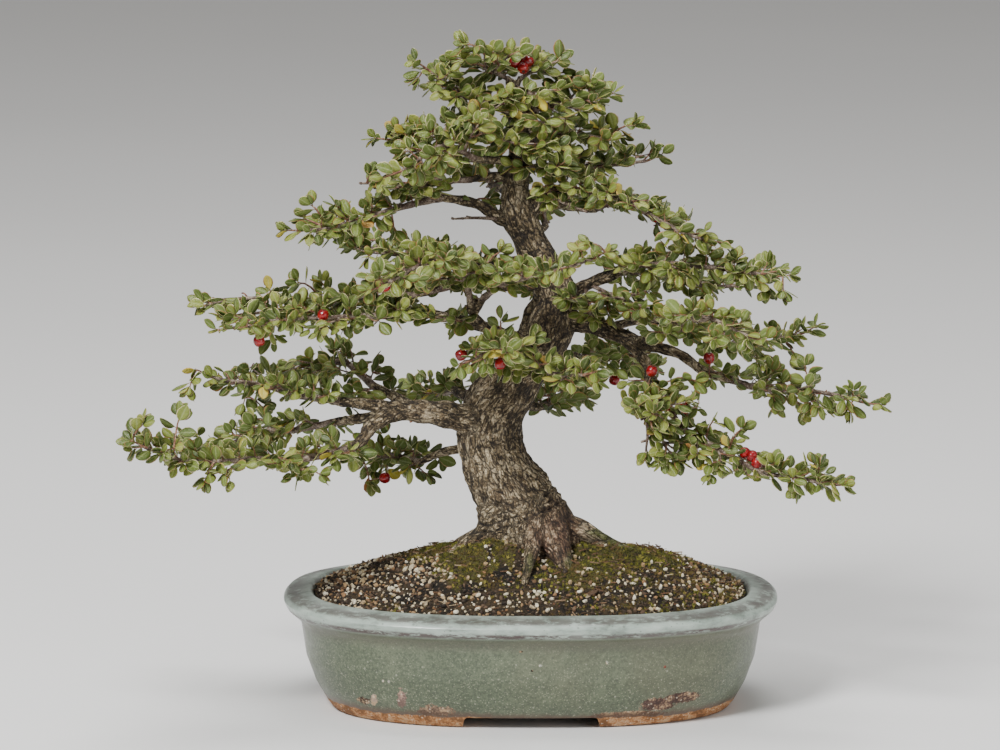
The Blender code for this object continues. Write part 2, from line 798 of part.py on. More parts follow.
def rectangle(corners, centre, along, sizes, twist):
    """A rectangle across along at centre, its sides lying as those of the four given corners do."""
    first = corners[1] - corners[0] + corners[2] - corners[3]
    first = (first - along * first.dot(along)).normalized()
    first.rotate(Quaternion(along, twist))
    second = along.cross(first)
    spans = ((-1, -1), (1, -1), (1, 1), (-1, 1))
    return [centre + first * (sizes[0] / 2 * a) + second * (sizes[1] / 2 * b) for a, b in spans]


class Blade:
    """One leaf: an obovate plate that arches, pushed out of a four-cornered face."""

    def __init__(self, corners, along, length, twist):
        self.corners = corners
        self.root = sum(corners, Vector()) / 4
        self.along = along
        self.length = length
        self.twist = twist
        level = rectangle(corners, self.root, along, (1, 1), 0)
        self.wide_first = abs((level[1] - level[0]).z) <= abs((level[3] - level[0]).z)

    def loop(self, share, width, margin=0.0):
        sizes = (width + 2 * margin, BLADE_THICK + 2 * margin)
        if not self.wide_first:
            sizes = sizes[::-1]
        flat = rectangle(self.corners, self.root, self.along, (1, 1), self.twist)
        normal = (flat[3] - flat[0]) if self.wide_first else (flat[1] - flat[0])
        if normal.z < 0:
            normal = -normal
        lift = BLADE_ARCH * self.length * math.sin(math.pi * share)
        centre = self.root + self.along * (self.length * share) + normal * lift
        return rectangle(self.corners, centre, self.along, sizes, self.twist)

    def loops(self, margin=0.0):
        wide = self.length * BLADE_WIDTH_SHARE
        end = 1 + margin / self.length
        return [self.loop(BLADE_WIDEST, wide, margin), self.loop(end, wide * BLADE_TIP_SHARE, margin)]

    def tree(self, start_share, margin=0.0):
        """The blade from start_share of its length on, for testing against its neighbours."""
        loops = self.loops(margin)
        start = [a.lerp(b, start_share / BLADE_WIDEST) for a, b in zip(self.corners, loops[0])]
        return tree_of(loft([start] + loops))


class Spray:
    """A leafy stem that grows piece by piece, each kept clear of what already stands there."""

    def __init__(self, branch, number):
        self.rng = random.Random(branch.name)
        self.offset = number
        self.taken = []
        self.own = []
        self.roots = []
        self.perches = []
        way = joint_way(branch)
        line = [Vector(branch.wood[-1]) + way * SEAT_GAP] + [Vector(place) for place in branch.leafy]
        length = sum((b - a).length for a, b in zip(line, line[1:]))
        _, cut, tip = branch.radii
        usable = length - FIRST_SITE - LAST_INTERNODE
        self.sites = max(FEWEST_SITES, round(usable / SITE_SPACING))
        self.ways = []
        rings = [square(line[0], way, cut / math.sqrt(2))]
        for k in range(self.sites):
            middle = FIRST_SITE + usable * (k + 0.6) / (self.sites - 0.2)
            place, here = place_on(line, middle)
            half = (cut + (tip - cut) * middle / length) / math.sqrt(2)
            rings += [square(place + here * (SITE_LENGTH * s), here, half) for s in (-0.5, 0.5)]
            self.ways.append(here)
        place, here = place_on(line, length)
        rings.append(square(place, here, tip / math.sqrt(2)))
        self.points, self.faces = loft(rings)
        self.stem_tree = tree_of(loft(rings))

    def corners(self, face):
        return [self.points[index] for index in self.faces[face]]

    def push(self, face, loop, split=False):
        """Moves a face out to a new loop of corners and returns the four walls left behind.

        Split walls are triangles, cut alike on opposite sides, so that a thin plate can twist.
        """
        base = self.faces[face]
        first = len(self.points)
        self.points += loop
        ends = tuple(range(first, first + 4))
        walls = []
        for k in range(4):
            after = (k + 1) % 4
            walls.append(len(self.faces))
            wall = (base[k], base[after], ends[after], ends[k])
            if not split:
                self.faces.append(wall)
            elif k < 2:
                self.faces += [(wall[0], wall[1], wall[2]), (wall[0], wall[2], wall[3])]
            else:
                self.faces += [(wall[0], wall[1], wall[3]), (wall[1], wall[2], wall[3])]
        self.faces[face] = ends
        return walls

    def facing(self, walls, way, wanted):
        """The wall that faces left, right or up of a stem that runs along way."""
        side = UP.cross(way).normalized()
        aim = {"left": side, "right": -side, "top": way.cross(side)}[wanted]
        middle = sum((point for wall in walls for point in self.corners(wall)), Vector()) / (4 * len(walls))
        return max(walls, key=lambda wall: (sum(self.corners(wall), Vector()) / 4 - middle).dot(aim))

    def crosses(self):
        """Whether two triangles that share no corner cross, with each square face split both ways."""
        corners = [face for face in self.faces if len(face) == 3]
        for a, b, c, d in (face for face in self.faces if len(face) == 4):
            corners += [(a, b, c), (a, c, d), (a, b, d), (b, c, d)]
        tree = tree_of((self.points, corners))
        return any(not set(corners[a]) & set(corners[b]) for a, b in tree.overlap(tree))

    def note(self, face):
        """What it takes to undo the pushes that follow."""
        return len(self.points), len(self.faces), face, self.faces[face]

    def undone(self, noted):
        """Undoes every push since the note was made if the stem now crosses itself."""
        if not self.crosses():
            return False
        points, faces, face, corners = noted
        del self.points[points:]
        del self.faces[faces:]
        self.faces[face] = corners
        return True

    def wander(self, loose):
        return Vector([self.rng.uniform(-loose, loose) for _ in range(3)])

    def add_blade(self, face, way, outward, lean):
        """Tries a few directions, and leaves the leaf out if none is free."""
        body = tree_of((self.points, self.faces))
        for attempt in range(TRIES):
            lift = UP * self.rng.uniform(*BLADE_LIFT)
            aim = outward + way * lean + lift + self.wander(BLADE_WANDER + MORE_WANDER * attempt)
            length = self.rng.uniform(*BLADE_LENGTHS)
            twist = self.rng.uniform(-BLADE_TWIST, BLADE_TWIST)
            leaf = Blade(self.corners(face), aim.normalized(), length, twist)
            grown = leaf.tree(BLADE_START_SHARE, CLEARANCE)
            snug = leaf.tree(BLADE_START_SHARE, OWN_CLEARANCE)
            outer = leaf.tree(BLADE_ROOT_SHARE, OWN_CLEARANCE)
            root = leaf.tree(BLADE_START_SHARE)
            blocked = any(grown.overlap(tree) for tree in self.taken)
            blocked = blocked or any(snug.overlap(tree) for tree in self.own)
            blocked = blocked or any(root.overlap(tree) for tree in self.roots)
            if blocked or outer.overlap(body):
                continue
            noted = self.note(face)
            for loop in leaf.loops():
                self.push(face, loop, split=True)
            if self.undone(noted):
                continue
            self.own.append(leaf.tree(BLADE_ROOT_SHARE))
            self.roots.append(root)
            return

    def push_twig(self, face, aim, steps):
        """Pushes a straight twig out of a face in steps and returns each step's walls."""
        base = self.corners(face)
        place = sum(base, Vector()) / 4
        spots = []
        for step in steps:
            place = place + aim * step
            spots.append(self.push(face, rectangle(base, place, aim, (2 * TWIG_HALF,) * 2, 0)))
        return spots

    def add_twig(self, face, way, outward, long):
        """A side twig with leaves in pairs, one on top and one at its end."""
        body = tree_of((self.points, self.faces))
        base = self.corners(face)
        root = sum(base, Vector()) / 4
        steps = [TWIG_INTERNODE, SITE_LENGTH] * (2 if long else 1) + [TWIG_END]
        size, grown = (2 * TWIG_HALF,) * 2, (2 * TWIG_HALF + 2 * CLEARANCE,) * 2
        for attempt in range(TRIES):
            lift = UP * self.rng.uniform(*TWIG_LIFT)
            aim = outward + way * self.rng.uniform(*TWIG_LEAN) + lift
            aim = (aim + self.wander(TWIG_WANDER + MORE_WANDER * attempt)).normalized()
            near, end = root + aim * TWIG_CLEAR_OF_STEM, root + aim * sum(steps)
            test = tree_of(loft([rectangle(base, place, aim, grown, 0) for place in (near, end)]))
            core = tree_of(loft([rectangle(base, place, aim, size, 0) for place in (near, end)]))
            first_ring = rectangle(base, root + aim * steps[0], aim, size, 0)
            start = [a.lerp(b, TWIG_START_SHARE) for a, b in zip(base, first_ring)]
            whole = tree_of(loft([start, rectangle(base, end, aim, size, 0)]))
            blocked = any(test.overlap(tree) for tree in self.taken + self.own)
            blocked = blocked or any(whole.overlap(tree) for tree in self.roots)
            if blocked or core.overlap(body):
                continue
            noted = self.note(face)
            spots = self.push_twig(face, aim, steps)
            if self.undone(noted):
                continue
            self.roots.append(whole)
            self.perches.append((root.lerp(end, PERCH_SHARE), aim))
            side = UP.cross(aim).normalized()
            self.add_blade(face, aim, aim * 0.2, 0.8)
            for walls in spots[1::2]:
                self.add_blade(self.facing(walls, aim, "left"), aim, side, LEAF_LEAN)
                self.add_blade(self.facing(walls, aim, "right"), aim, -side, LEAF_LEAN)
            if long:
                self.add_blade(self.facing(spots[0], aim, "top"), aim, UP, LEAF_LEAN)
            self.own.append(core)
            return

    def grow(self):
        """Leaves and twigs from the tip back, so that the furthest ones always find room."""
        last = self.ways[-1]
        self.add_blade(len(self.faces) - 1, last, last, LEAF_LEAN)
        for k in reversed(range(self.sites)):
            first = 1 + 4 * (2 * k + 1)
            walls = list(range(first, first + 4))
            way = self.ways[k]
            side = UP.cross(way).normalized()
            outward = {"left": side, "right": -side, "top": UP}
            for wanted, kind in SITES[(k + self.offset) % len(SITES)]:
                face = self.facing(walls, way, wanted)
                if kind == "leaf":
                    self.add_blade(face, way, outward[wanted], LEAF_LEAN)
                else:
                    self.add_twig(face, way, outward[wanted], wanted != "top" and k < self.sites - 1)

    def berry(self, perch):
        """A berry hanging from the middle of a twig, where one fits."""
        place, aim = perch
        for _ in range(TRIES):
            angle = self.rng.uniform(0, 2 * math.pi)
            drop = Vector((math.cos(angle), math.sin(angle), BERRY_DROP)).normalized()
            drop = (drop - aim * drop.dot(aim)).normalized()
            centre = place + drop * (BERRY_RADIUS - BERRY_SUNK + TWIG_HALF)
            grown = tree_of(ball(centre, BERRY_RADIUS + CLEARANCE))
            if not any(grown.overlap(tree) for tree in self.taken):
                return ball(centre, BERRY_RADIUS)
        return None


def make_sprays(wood_shapes, finishes):
    leafy = [branch for branch in BRANCHES if branch.leafy]
    sprays = {branch: Spray(branch, number) for number, branch in enumerate(leafy)}
    standing = [tree_of(shape) for shape in wood_shapes]
    for branch, spray in sprays.items():
        stems = [other.stem_tree for other in sprays.values() if other is not spray]
        spray.taken = standing + stems
        spray.grow()
        standing += spray.own
        berries = [spray.berry(perch) for perch in spray.perches[: branch.berries]]
        shapes = [((spray.points, spray.faces), LEAF)] + [(berry, BERRY) for berry in berries if berry]
        made = fused("spray_" + branch.name, shapes, finishes)
        shade_smooth(made, LEAF_SMOOTH)


def main():
    clear_scene()
    glaze = material("grey green glaze", (0.34, 0.38, 0.33), 0.35)
    plastic = material("black mesh plastic", (0.02, 0.02, 0.02), 0.6)
    earth = material("gritty soil", (0.10, 0.07, 0.045), 0.95)
    bark = material("flaky bark", (0.20, 0.15, 0.11), 0.85)
    leaf = material("green leaf", (0.13, 0.22, 0.07), 0.4)
    berry = material("red berry", (0.55, 0.04, 0.02), 0.25)
    make_pot(glaze)
    make_drainage_mesh("drainage_mesh_left", POT_X - DRAIN_SPREAD, plastic)
    make_drainage_mesh("drainage_mesh_right", POT_X + DRAIN_SPREAD, plastic)
    wood_shapes = make_wood(bark)
    make_soil(earth, make_wood_cutter(bark))
    make_sprays(wood_shapes, [bark, leaf, berry])


main()
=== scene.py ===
"""Cotoneaster bonsai in an oval glazed pot: the detailed model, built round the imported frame.

The pot, the soil with its grit and moss, the wood with its bark, and the leafy sprays are modelled in
metres in the frame's own axes. Every spray takes the place of the frame's spray of the same name.
"""

import json
import logging
import math
import random
from collections.abc import Callable, Iterable, Sequence
from dataclasses import dataclass, field
from enum import Enum

import bmesh
import bpy
import numpy as np
from mathutils import Matrix, Vector, kdtree, noise

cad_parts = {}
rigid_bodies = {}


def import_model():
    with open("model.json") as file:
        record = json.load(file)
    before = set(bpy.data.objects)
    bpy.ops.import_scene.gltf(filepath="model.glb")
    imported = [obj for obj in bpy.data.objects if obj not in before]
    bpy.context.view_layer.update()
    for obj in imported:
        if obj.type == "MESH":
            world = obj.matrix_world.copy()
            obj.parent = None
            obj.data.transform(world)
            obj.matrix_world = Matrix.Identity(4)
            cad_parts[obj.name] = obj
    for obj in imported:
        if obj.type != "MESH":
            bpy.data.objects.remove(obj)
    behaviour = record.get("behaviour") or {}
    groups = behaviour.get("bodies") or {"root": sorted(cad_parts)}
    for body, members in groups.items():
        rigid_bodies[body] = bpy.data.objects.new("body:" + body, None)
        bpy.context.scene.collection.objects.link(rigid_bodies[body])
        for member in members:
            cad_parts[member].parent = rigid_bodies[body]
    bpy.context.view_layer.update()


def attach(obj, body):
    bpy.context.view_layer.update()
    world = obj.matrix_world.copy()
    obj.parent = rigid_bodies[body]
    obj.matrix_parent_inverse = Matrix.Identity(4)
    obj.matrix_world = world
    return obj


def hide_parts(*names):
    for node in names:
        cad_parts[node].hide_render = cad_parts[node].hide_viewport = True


LOG = logging.getLogger("bonsai")
BODY = "root"
NOISE_SEED = 41
UP = Vector((0.0, 0.0, 1.0))


class Slot(Enum):
    """The record's material slots."""

    GLAZE = "glaze"
    SOIL = "soil"
    BARK = "bark"
    FOLIAGE = "foliage"


class Side(Enum):
    """The two sides of a leaf."""

    UPPER = "upper"
    LOWER = "lower"


class Age(Enum):
    """How old a twig is, which sets its colour."""

    OLD = "old"
    YOUNG = "young"


@dataclass(frozen=True)
class Limb:
    """A branch: its wooden run, the leafy run that goes on from it, and the radius at three places.

    The radii are those at its root, where the leaves start, and at its tip.
    """

    name: str
    wood: tuple[tuple[float, float, float], ...]
    leafy: tuple[tuple[float, float, float], ...]
    radii: tuple[float, float, float]


LIMBS = (
    Limb(
        "low_left",
        (
            (-0.0070, 0.0040, 0.1560), (-0.0240, -0.0040, 0.1630), (-0.0440, -0.0130, 0.1680),
            (-0.0650, -0.0200, 0.1700),
        ),
        (),
        (0.0100, 0.0074, 0.0052),
    ),
    Limb(
        "low_left_droop",
        (
            (-0.0590, -0.0190, 0.1690), (-0.0730, -0.0320, 0.1640), (-0.0790, -0.0420, 0.1570),
            (-0.0880, -0.0500, 0.1520),
        ),
        (
            (-0.1085, -0.0600, 0.1495), (-0.1331, -0.0720, 0.1513), (-0.1541, -0.0840, 0.1524),
            (-0.1733, -0.0950, 0.1547), (-0.1940, -0.1070, 0.1635),
        ),
        (0.0050, 0.0026, 0.0009),
    ),
    Limb(
        "low_left_back",
        ((-0.0570, -0.0170, 0.1690), (-0.0780, -0.0040, 0.1630), (-0.0960, 0.0120, 0.1580)),
        (
            (-0.1188, 0.0280, 0.1509), (-0.1445, 0.0420, 0.1457), (-0.1605, 0.0560, 0.1367),
            (-0.1770, 0.0670, 0.1340),
        ),
        (0.0040, 0.0024, 0.0009),
    ),
    Limb(
        "left_main",
        ((-0.0610, -0.0190, 0.1700), (-0.0770, -0.0240, 0.1740), (-0.0930, -0.0270, 0.1760)),
        (
            (-0.1142, -0.0310, 0.1805), (-0.1347, -0.0360, 0.1865), (-0.1496, -0.0390, 0.1893),
            (-0.1630, -0.0420, 0.1922),
        ),
        (0.0045, 0.0026, 0.0009),
    ),
    Limb(
        "left_main_back",
        ((-0.0470, -0.0140, 0.1680), (-0.0600, 0.0020, 0.1730), (-0.0750, 0.0180, 0.1780)),
        ((-0.0914, 0.0360, 0.1879), (-0.1141, 0.0540, 0.1832), (-0.1381, 0.0700, 0.1680)),
        (0.0036, 0.0024, 0.0009),
    ),
    Limb(
        "low_inner_left",
        ((-0.0080, 0.0060, 0.1450), (-0.0330, 0.0240, 0.1390), (-0.0490, 0.0360, 0.1300)),
        ((-0.0674, 0.0480, 0.1322), (-0.0680, 0.0640, 0.1231)),
        (0.0032, 0.0020, 0.0009),
    ),
    Limb(
        "back_left",
        ((-0.0040, 0.0060, 0.1690), (-0.0220, 0.0340, 0.1690), (-0.0290, 0.0540, 0.1700)),
        ((-0.0374, 0.0820, 0.1623), (-0.0524, 0.1080, 0.1580)),
        (0.0040, 0.0024, 0.0009),
    ),
    Limb(
        "left_second",
        (
            (0.0200, 0.0000, 0.2020), (0.0020, -0.0080, 0.2100), (-0.0160, -0.0150, 0.2180),
            (-0.0450, -0.0230, 0.2260),
        ),
        (
            (-0.0661, -0.0320, 0.2256), (-0.0903, -0.0400, 0.2264), (-0.1157, -0.0460, 0.2255),
            (-0.1390, -0.0500, 0.2244),
        ),
        (0.0050, 0.0026, 0.0009),
    ),
    Limb(
        "left_upper",
        (
            (0.0250, -0.0020, 0.2400), (0.0060, -0.0200, 0.2410), (-0.0130, -0.0280, 0.2420),
            (-0.0320, -0.0320, 0.2420),
        ),
        (
            (-0.0521, -0.0280, 0.2356), (-0.0766, -0.0180, 0.2334), (-0.1105, -0.0080, 0.2271),
            (-0.1445, 0.0000, 0.2210),
        ),
        (0.0042, 0.0024, 0.0009),
    ),
    Limb(
        "front_left",
        ((-0.0100, -0.0120, 0.2150), (-0.0180, -0.0240, 0.2260), (-0.0190, -0.0380, 0.2370)),
        ((-0.0246, -0.0620, 0.2561), (-0.0412, -0.0860, 0.2630), (-0.0656, -0.1130, 0.2543)),
        (0.0028, 0.0021, 0.0009),
    ),
    Limb(
        "front_middle",
        ((-0.0170, -0.0220, 0.2250), (-0.0110, -0.0380, 0.2370)),
        ((-0.0009, -0.0620, 0.2475), (0.0207, -0.0840, 0.2556), (0.0480, -0.1020, 0.2675)),
        (0.0026, 0.0021, 0.0009),
    ),
    Limb(
        "left_third",
        (
            (0.0090, -0.0070, 0.2750), (-0.0020, -0.0120, 0.2770), (-0.0150, -0.0170, 0.2860),
            (-0.0360, -0.0240, 0.2910),
        ),
        (
            (-0.0518, -0.0280, 0.2869), (-0.0740, -0.0330, 0.2811), (-0.0948, -0.0370, 0.2755),
            (-0.1099, -0.0400, 0.2743),
        ),
        (0.0044, 0.0025, 0.0009),
    ),
    Limb(
        "left_third_back",
        ((0.0180, -0.0030, 0.2540), (-0.0030, 0.0140, 0.2490), (-0.0270, 0.0280, 0.2490)),
        ((-0.0518, 0.0380, 0.2483), (-0.0803, 0.0460, 0.2541), (-0.1049, 0.0520, 0.2649)),
        (0.0034, 0.0022, 0.0009),
    ),
    Limb(
        "left_fourth",
        ((0.0070, -0.0100, 0.2980), (-0.0060, -0.0170, 0.3020), (-0.0200, -0.0220, 0.3000)),
        ((-0.0417, -0.0270, 0.2994), (-0.0612, -0.0310, 0.2982)),
        (0.0030, 0.0020, 0.0009),
    ),
    Limb(
        "left_fourth_front",
        ((0.0080, -0.0120, 0.3100), (-0.0050, -0.0280, 0.3120), (-0.0170, -0.0400, 0.3140)),
        ((-0.0330, -0.0540, 0.3237), (-0.0563, -0.0660, 0.3107)),
        (0.0030, 0.0020, 0.0009),
    ),
    Limb(
        "left_fifth",
        ((0.0080, -0.0120, 0.3170), (-0.0030, -0.0140, 0.3220), (-0.0190, -0.0160, 0.3290)),
        ((-0.0349, -0.0180, 0.3272), (-0.0492, -0.0190, 0.3231), (-0.0620, -0.0200, 0.3218)),
        (0.0030, 0.0020, 0.0009),
    ),
    Limb(
        "left_sixth",
        ((0.0060, -0.0140, 0.3370), (-0.0030, -0.0160, 0.3400), (-0.0110, -0.0170, 0.3440)),
        ((-0.0216, -0.0190, 0.3462), (-0.0319, -0.0200, 0.3528), (-0.0409, -0.0210, 0.3603)),
        (0.0030, 0.0020, 0.0009),
    ),
    Limb(
        "apex_left",
        ((0.0040, -0.0160, 0.3470), (0.0020, -0.0180, 0.3580)),
        ((-0.0042, -0.0220, 0.3604), (-0.0060, -0.0290, 0.3663)),
        (0.0020, 0.0015, 0.0008),
    ),
    Limb(
        "apex_right",
        ((0.0050, -0.0150, 0.3450), (0.0090, -0.0120, 0.3570)),
        ((0.0160, -0.0080, 0.3596), (0.0260, -0.0020, 0.3580)),
        (0.0020, 0.0015, 0.0008),
    ),
    Limb(
        "right_sixth",
        ((0.0050, -0.0150, 0.3390), (0.0170, -0.0120, 0.3390), (0.0280, -0.0090, 0.3410)),
        ((0.0376, -0.0050, 0.3422), (0.0520, 0.0000, 0.3427)),
        (0.0030, 0.0020, 0.0009),
    ),
    Limb(
        "right_fifth",
        ((0.0080, -0.0120, 0.3200), (0.0170, -0.0080, 0.3230), (0.0260, -0.0050, 0.3250)),
        ((0.0425, 0.0020, 0.3230), (0.0569, 0.0080, 0.3213)),
        (0.0030, 0.0020, 0.0009),
    ),
    Limb(
        "right_fourth",
        ((0.0080, -0.0110, 0.3040), (0.0210, -0.0030, 0.3050), (0.0370, 0.0040, 0.3060)),
        ((0.0515, 0.0100, 0.3042), (0.0666, 0.0140, 0.3043), (0.0800, 0.0180, 0.3055)),
        (0.0030, 0.0020, 0.0009),
    ),
    Limb(
        "right_third",
        (
            (0.0100, -0.0070, 0.2740), (0.0180, -0.0100, 0.2830), (0.0250, -0.0130, 0.2920),
            (0.0380, -0.0170, 0.2950),
        ),
        (
            (0.0526, -0.0230, 0.2914), (0.0710, -0.0280, 0.2885), (0.0960, -0.0330, 0.2732),
            (0.1100, -0.0360, 0.2687),
        ),
        (0.0046, 0.0024, 0.0009),
    ),
    Limb(
        "right_third_back",
        ((0.0230, -0.0120, 0.2890), (0.0360, 0.0060, 0.2820), (0.0520, 0.0220, 0.2780)),
        ((0.0673, 0.0400, 0.2805), (0.0890, 0.0560, 0.2656)),
        (0.0034, 0.0022, 0.0009),
    ),
    Limb(
        "right_second_back",
        ((0.0290, 0.0000, 0.2280), (0.0450, 0.0160, 0.2350), (0.0610, 0.0300, 0.2410)),
        (
            (0.0824, 0.0420, 0.2391), (0.1050, 0.0520, 0.2311), (0.1289, 0.0580, 0.2290),
            (0.1528, 0.0620, 0.2330),
        ),
        (0.0046, 0.0024, 0.0009),
    ),
    Limb(
        "right_second",
        ((0.0450, 0.0160, 0.2350), (0.0610, 0.0000, 0.2430), (0.0740, -0.0120, 0.2520)),
        ((0.0989, -0.0220, 0.2528), (0.1235, -0.0300, 0.2516), (0.1429, -0.0340, 0.2490)),
        (0.0030, 0.0020, 0.0009),
    ),
    Limb(
        "right_first",
        (
            (0.0290, 0.0000, 0.2190), (0.0490, -0.0100, 0.2170), (0.0680, -0.0190, 0.2110),
            (0.0830, -0.0250, 0.2070),
        ),
        (),
        (0.0065, 0.0044, 0.0034),
    ),
    Limb(
        "right_outer",
        (
            (0.0790, -0.0240, 0.2080), (0.0980, -0.0280, 0.2030), (0.1110, -0.0310, 0.1940),
            (0.1250, -0.0340, 0.1900),
        ),
        (
            (0.1435, -0.0390, 0.1853), (0.1639, -0.0430, 0.1852), (0.1831, -0.0470, 0.1830),
            (0.1980, -0.0490, 0.1793),
        ),
        (0.0034, 0.0023, 0.0009),
    ),
    Limb(
        "right_droop",
        (
            (0.0650, -0.0180, 0.2120), (0.0770, -0.0310, 0.2020), (0.0820, -0.0420, 0.1930),
            (0.0860, -0.0500, 0.1850),
        ),
        (
            (0.0984, -0.0620, 0.1677), (0.1188, -0.0720, 0.1565), (0.1396, -0.0820, 0.1466),
            (0.1598, -0.0900, 0.1442), (0.1750, -0.0950, 0.1420),
        ),
        (0.0036, 0.0023, 0.0009),
    ),
    Limb(
        "right_low_front",
        ((0.0810, -0.0380, 0.1960), (0.0800, -0.0520, 0.1870), (0.0760, -0.0620, 0.1810)),
        ((0.0820, -0.0780, 0.1829), (0.0800, -0.0940, 0.1764)),
        (0.0030, 0.0020, 0.0009),
    ),
    Limb(
        "right_middle",
        ((0.0570, -0.0140, 0.2150), (0.0760, 0.0000, 0.2180), (0.0930, 0.0120, 0.2150)),
        ((0.1098, 0.0200, 0.2075), (0.1363, 0.0260, 0.1989), (0.1677, 0.0300, 0.2048)),
        (0.0030, 0.0020, 0.0009),
    ),
    Limb(
        "right_middle_front",
        ((0.0760, -0.0240, 0.2100), (0.0880, -0.0400, 0.2160), (0.0990, -0.0540, 0.2210)),
        ((0.1093, -0.0720, 0.2304), (0.1355, -0.0880, 0.2214)),
        (0.0030, 0.0020, 0.0009),
    ),
    Limb(
        "back_right",
        ((0.0220, 0.0040, 0.2030), (0.0350, 0.0360, 0.1930), (0.0480, 0.0580, 0.1860)),
        ((0.0700, 0.0870, 0.1845), (0.0850, 0.1130, 0.1736)),
        (0.0040, 0.0024, 0.0009),
    ),
    Limb(
        "back_low",
        ((0.0010, 0.0060, 0.1700), (0.0150, 0.0360, 0.1630), (0.0240, 0.0580, 0.1590)),
        ((0.0300, 0.0820, 0.1609), (0.0400, 0.1060, 0.1633)),
        (0.0036, 0.0023, 0.0009),
    ),
    Limb(
        "front_low_left",
        ((0.0170, 0.0000, 0.2000), (0.0110, -0.0240, 0.2000), (0.0050, -0.0420, 0.2000)),
        ((-0.0012, -0.0620, 0.2119), (-0.0180, -0.0800, 0.2078)),
        (0.0030, 0.0020, 0.0009),
    ),
    Limb(
        "front_low_right",
        ((0.0120, -0.0200, 0.2000), (0.0170, -0.0360, 0.1980)),
        ((0.0276, -0.0560, 0.1958), (0.0434, -0.0740, 0.1984)),
        (0.0030, 0.0020, 0.0009),
    ),
    Limb(
        "back_middle",
        ((0.0280, 0.0000, 0.2260), (0.0280, 0.0360, 0.2280), (0.0280, 0.0660, 0.2270)),
        ((0.0325, 0.0900, 0.2220), (0.0227, 0.1100, 0.2208)),
        (0.0038, 0.0023, 0.0009),
    ),
    Limb(
        "back_upper",
        ((0.0150, -0.0050, 0.2630), (0.0200, 0.0260, 0.2650), (0.0240, 0.0480, 0.2650)),
        ((0.0221, 0.0740, 0.2740), (0.0271, 0.0980, 0.2730)),
        (0.0030, 0.0020, 0.0009),
    ),
    Limb(
        "back_high",
        ((0.0070, -0.0090, 0.2900), (-0.0010, 0.0160, 0.2900), (-0.0080, 0.0360, 0.2900)),
        ((-0.0092, 0.0600, 0.2929), (-0.0200, 0.0820, 0.2960)),
        (0.0030, 0.0020, 0.0009),
    ),
    Limb(
        "back_top",
        ((0.0080, -0.0120, 0.3170), (0.0120, 0.0080, 0.3200), (0.0150, 0.0260, 0.3220)),
        ((0.0110, 0.0460, 0.3150), (0.0120, 0.0660, 0.3320)),
        (0.0030, 0.0020, 0.0009),
    ),
)

# Berries, each with the spray that it hangs in and its middle
BERRIES = (
    ("front_left", (-0.0651, -0.0840, 0.2496)),
    ("left_second", (-0.1002, -0.0500, 0.2285)),
    ("left_second", (-0.1355, -0.0540, 0.2145)),
    ("front_low_left", (-0.0238, -0.0680, 0.2089)),
    ("front_low_left", (-0.0023, -0.0580, 0.2023)),
    ("right_middle", (0.0731, -0.0200, 0.2257)),
    ("right_low_front", (0.0816, -0.0600, 0.1987)),
    ("right_droop", (0.0893, -0.0660, 0.1801)),
    ("right_droop", (0.0998, -0.0660, 0.1790)),
    ("right_outer", (0.1138, -0.0420, 0.2031)),
    ("low_inner_left", (-0.0682, 0.0400, 0.1206)),
    ("left_fifth", (-0.0411, -0.0260, 0.3297)),
    ("apex_right", (0.0055, -0.0240, 0.3657)),
    ("apex_right", (0.0104, -0.0260, 0.3631)),
    ("apex_right", (0.0132, -0.0220, 0.3666)),
    ("apex_right", (0.0082, -0.0180, 0.3679)),
    ("right_droop", (0.1364, -0.0780, 0.1542)),
    ("right_droop", (0.1327, -0.0740, 0.1552)),
    ("right_droop", (0.1390, -0.0800, 0.1507)),
    ("back_right", (0.0640, 0.0860, 0.1700)),
    ("back_middle", (0.0240, 0.1000, 0.2160)),
    ("left_main_back", (-0.1180, 0.0580, 0.1730)),
    ("right_third_back", (0.0860, 0.0520, 0.2700)),
)

# Trunk centre line from its foot in the soil to the apex, with the radius at each point
TRUNK = (
    ((0.0160, 0.0000, 0.0580), 0.0215),
    ((0.0160, 0.0000, 0.0800), 0.0272),
    ((0.0130, 0.0000, 0.0985), 0.0268),
    ((0.0106, 0.0010, 0.1094), 0.0258),
    ((0.0056, 0.0015, 0.1186), 0.0242),
    ((0.0005, 0.0025, 0.1278), 0.0230),
    ((-0.0043, 0.0040, 0.1370), 0.0200),
    ((-0.0082, 0.0050, 0.1462), 0.0189),
    ((-0.0086, 0.0050, 0.1545), 0.0187),
    ((-0.0060, 0.0050, 0.1650), 0.0178),
    ((0.001, 0.004, 0.176), 0.0168),
    ((0.010, 0.002, 0.189), 0.0145),
    ((0.020, 0.000, 0.203), 0.0147),
    ((0.026, 0.000, 0.217), 0.0152),
    ((0.029, 0.000, 0.230), 0.0126),
    ((0.026, -0.002, 0.242), 0.0113),
    ((0.018, -0.004, 0.256), 0.0100),
    ((0.013, -0.006, 0.267), 0.0090),
    ((0.008, -0.008, 0.279), 0.0102),
    ((0.006, -0.009, 0.292), 0.0080),
    ((0.008, -0.011, 0.307), 0.0069),
    ((0.009, -0.012, 0.319), 0.0060),
    ((0.007, -0.014, 0.334), 0.0046),
    ((0.005, -0.015, 0.345), 0.0035),
    ((0.003, -0.017, 0.356), 0.0026),
)

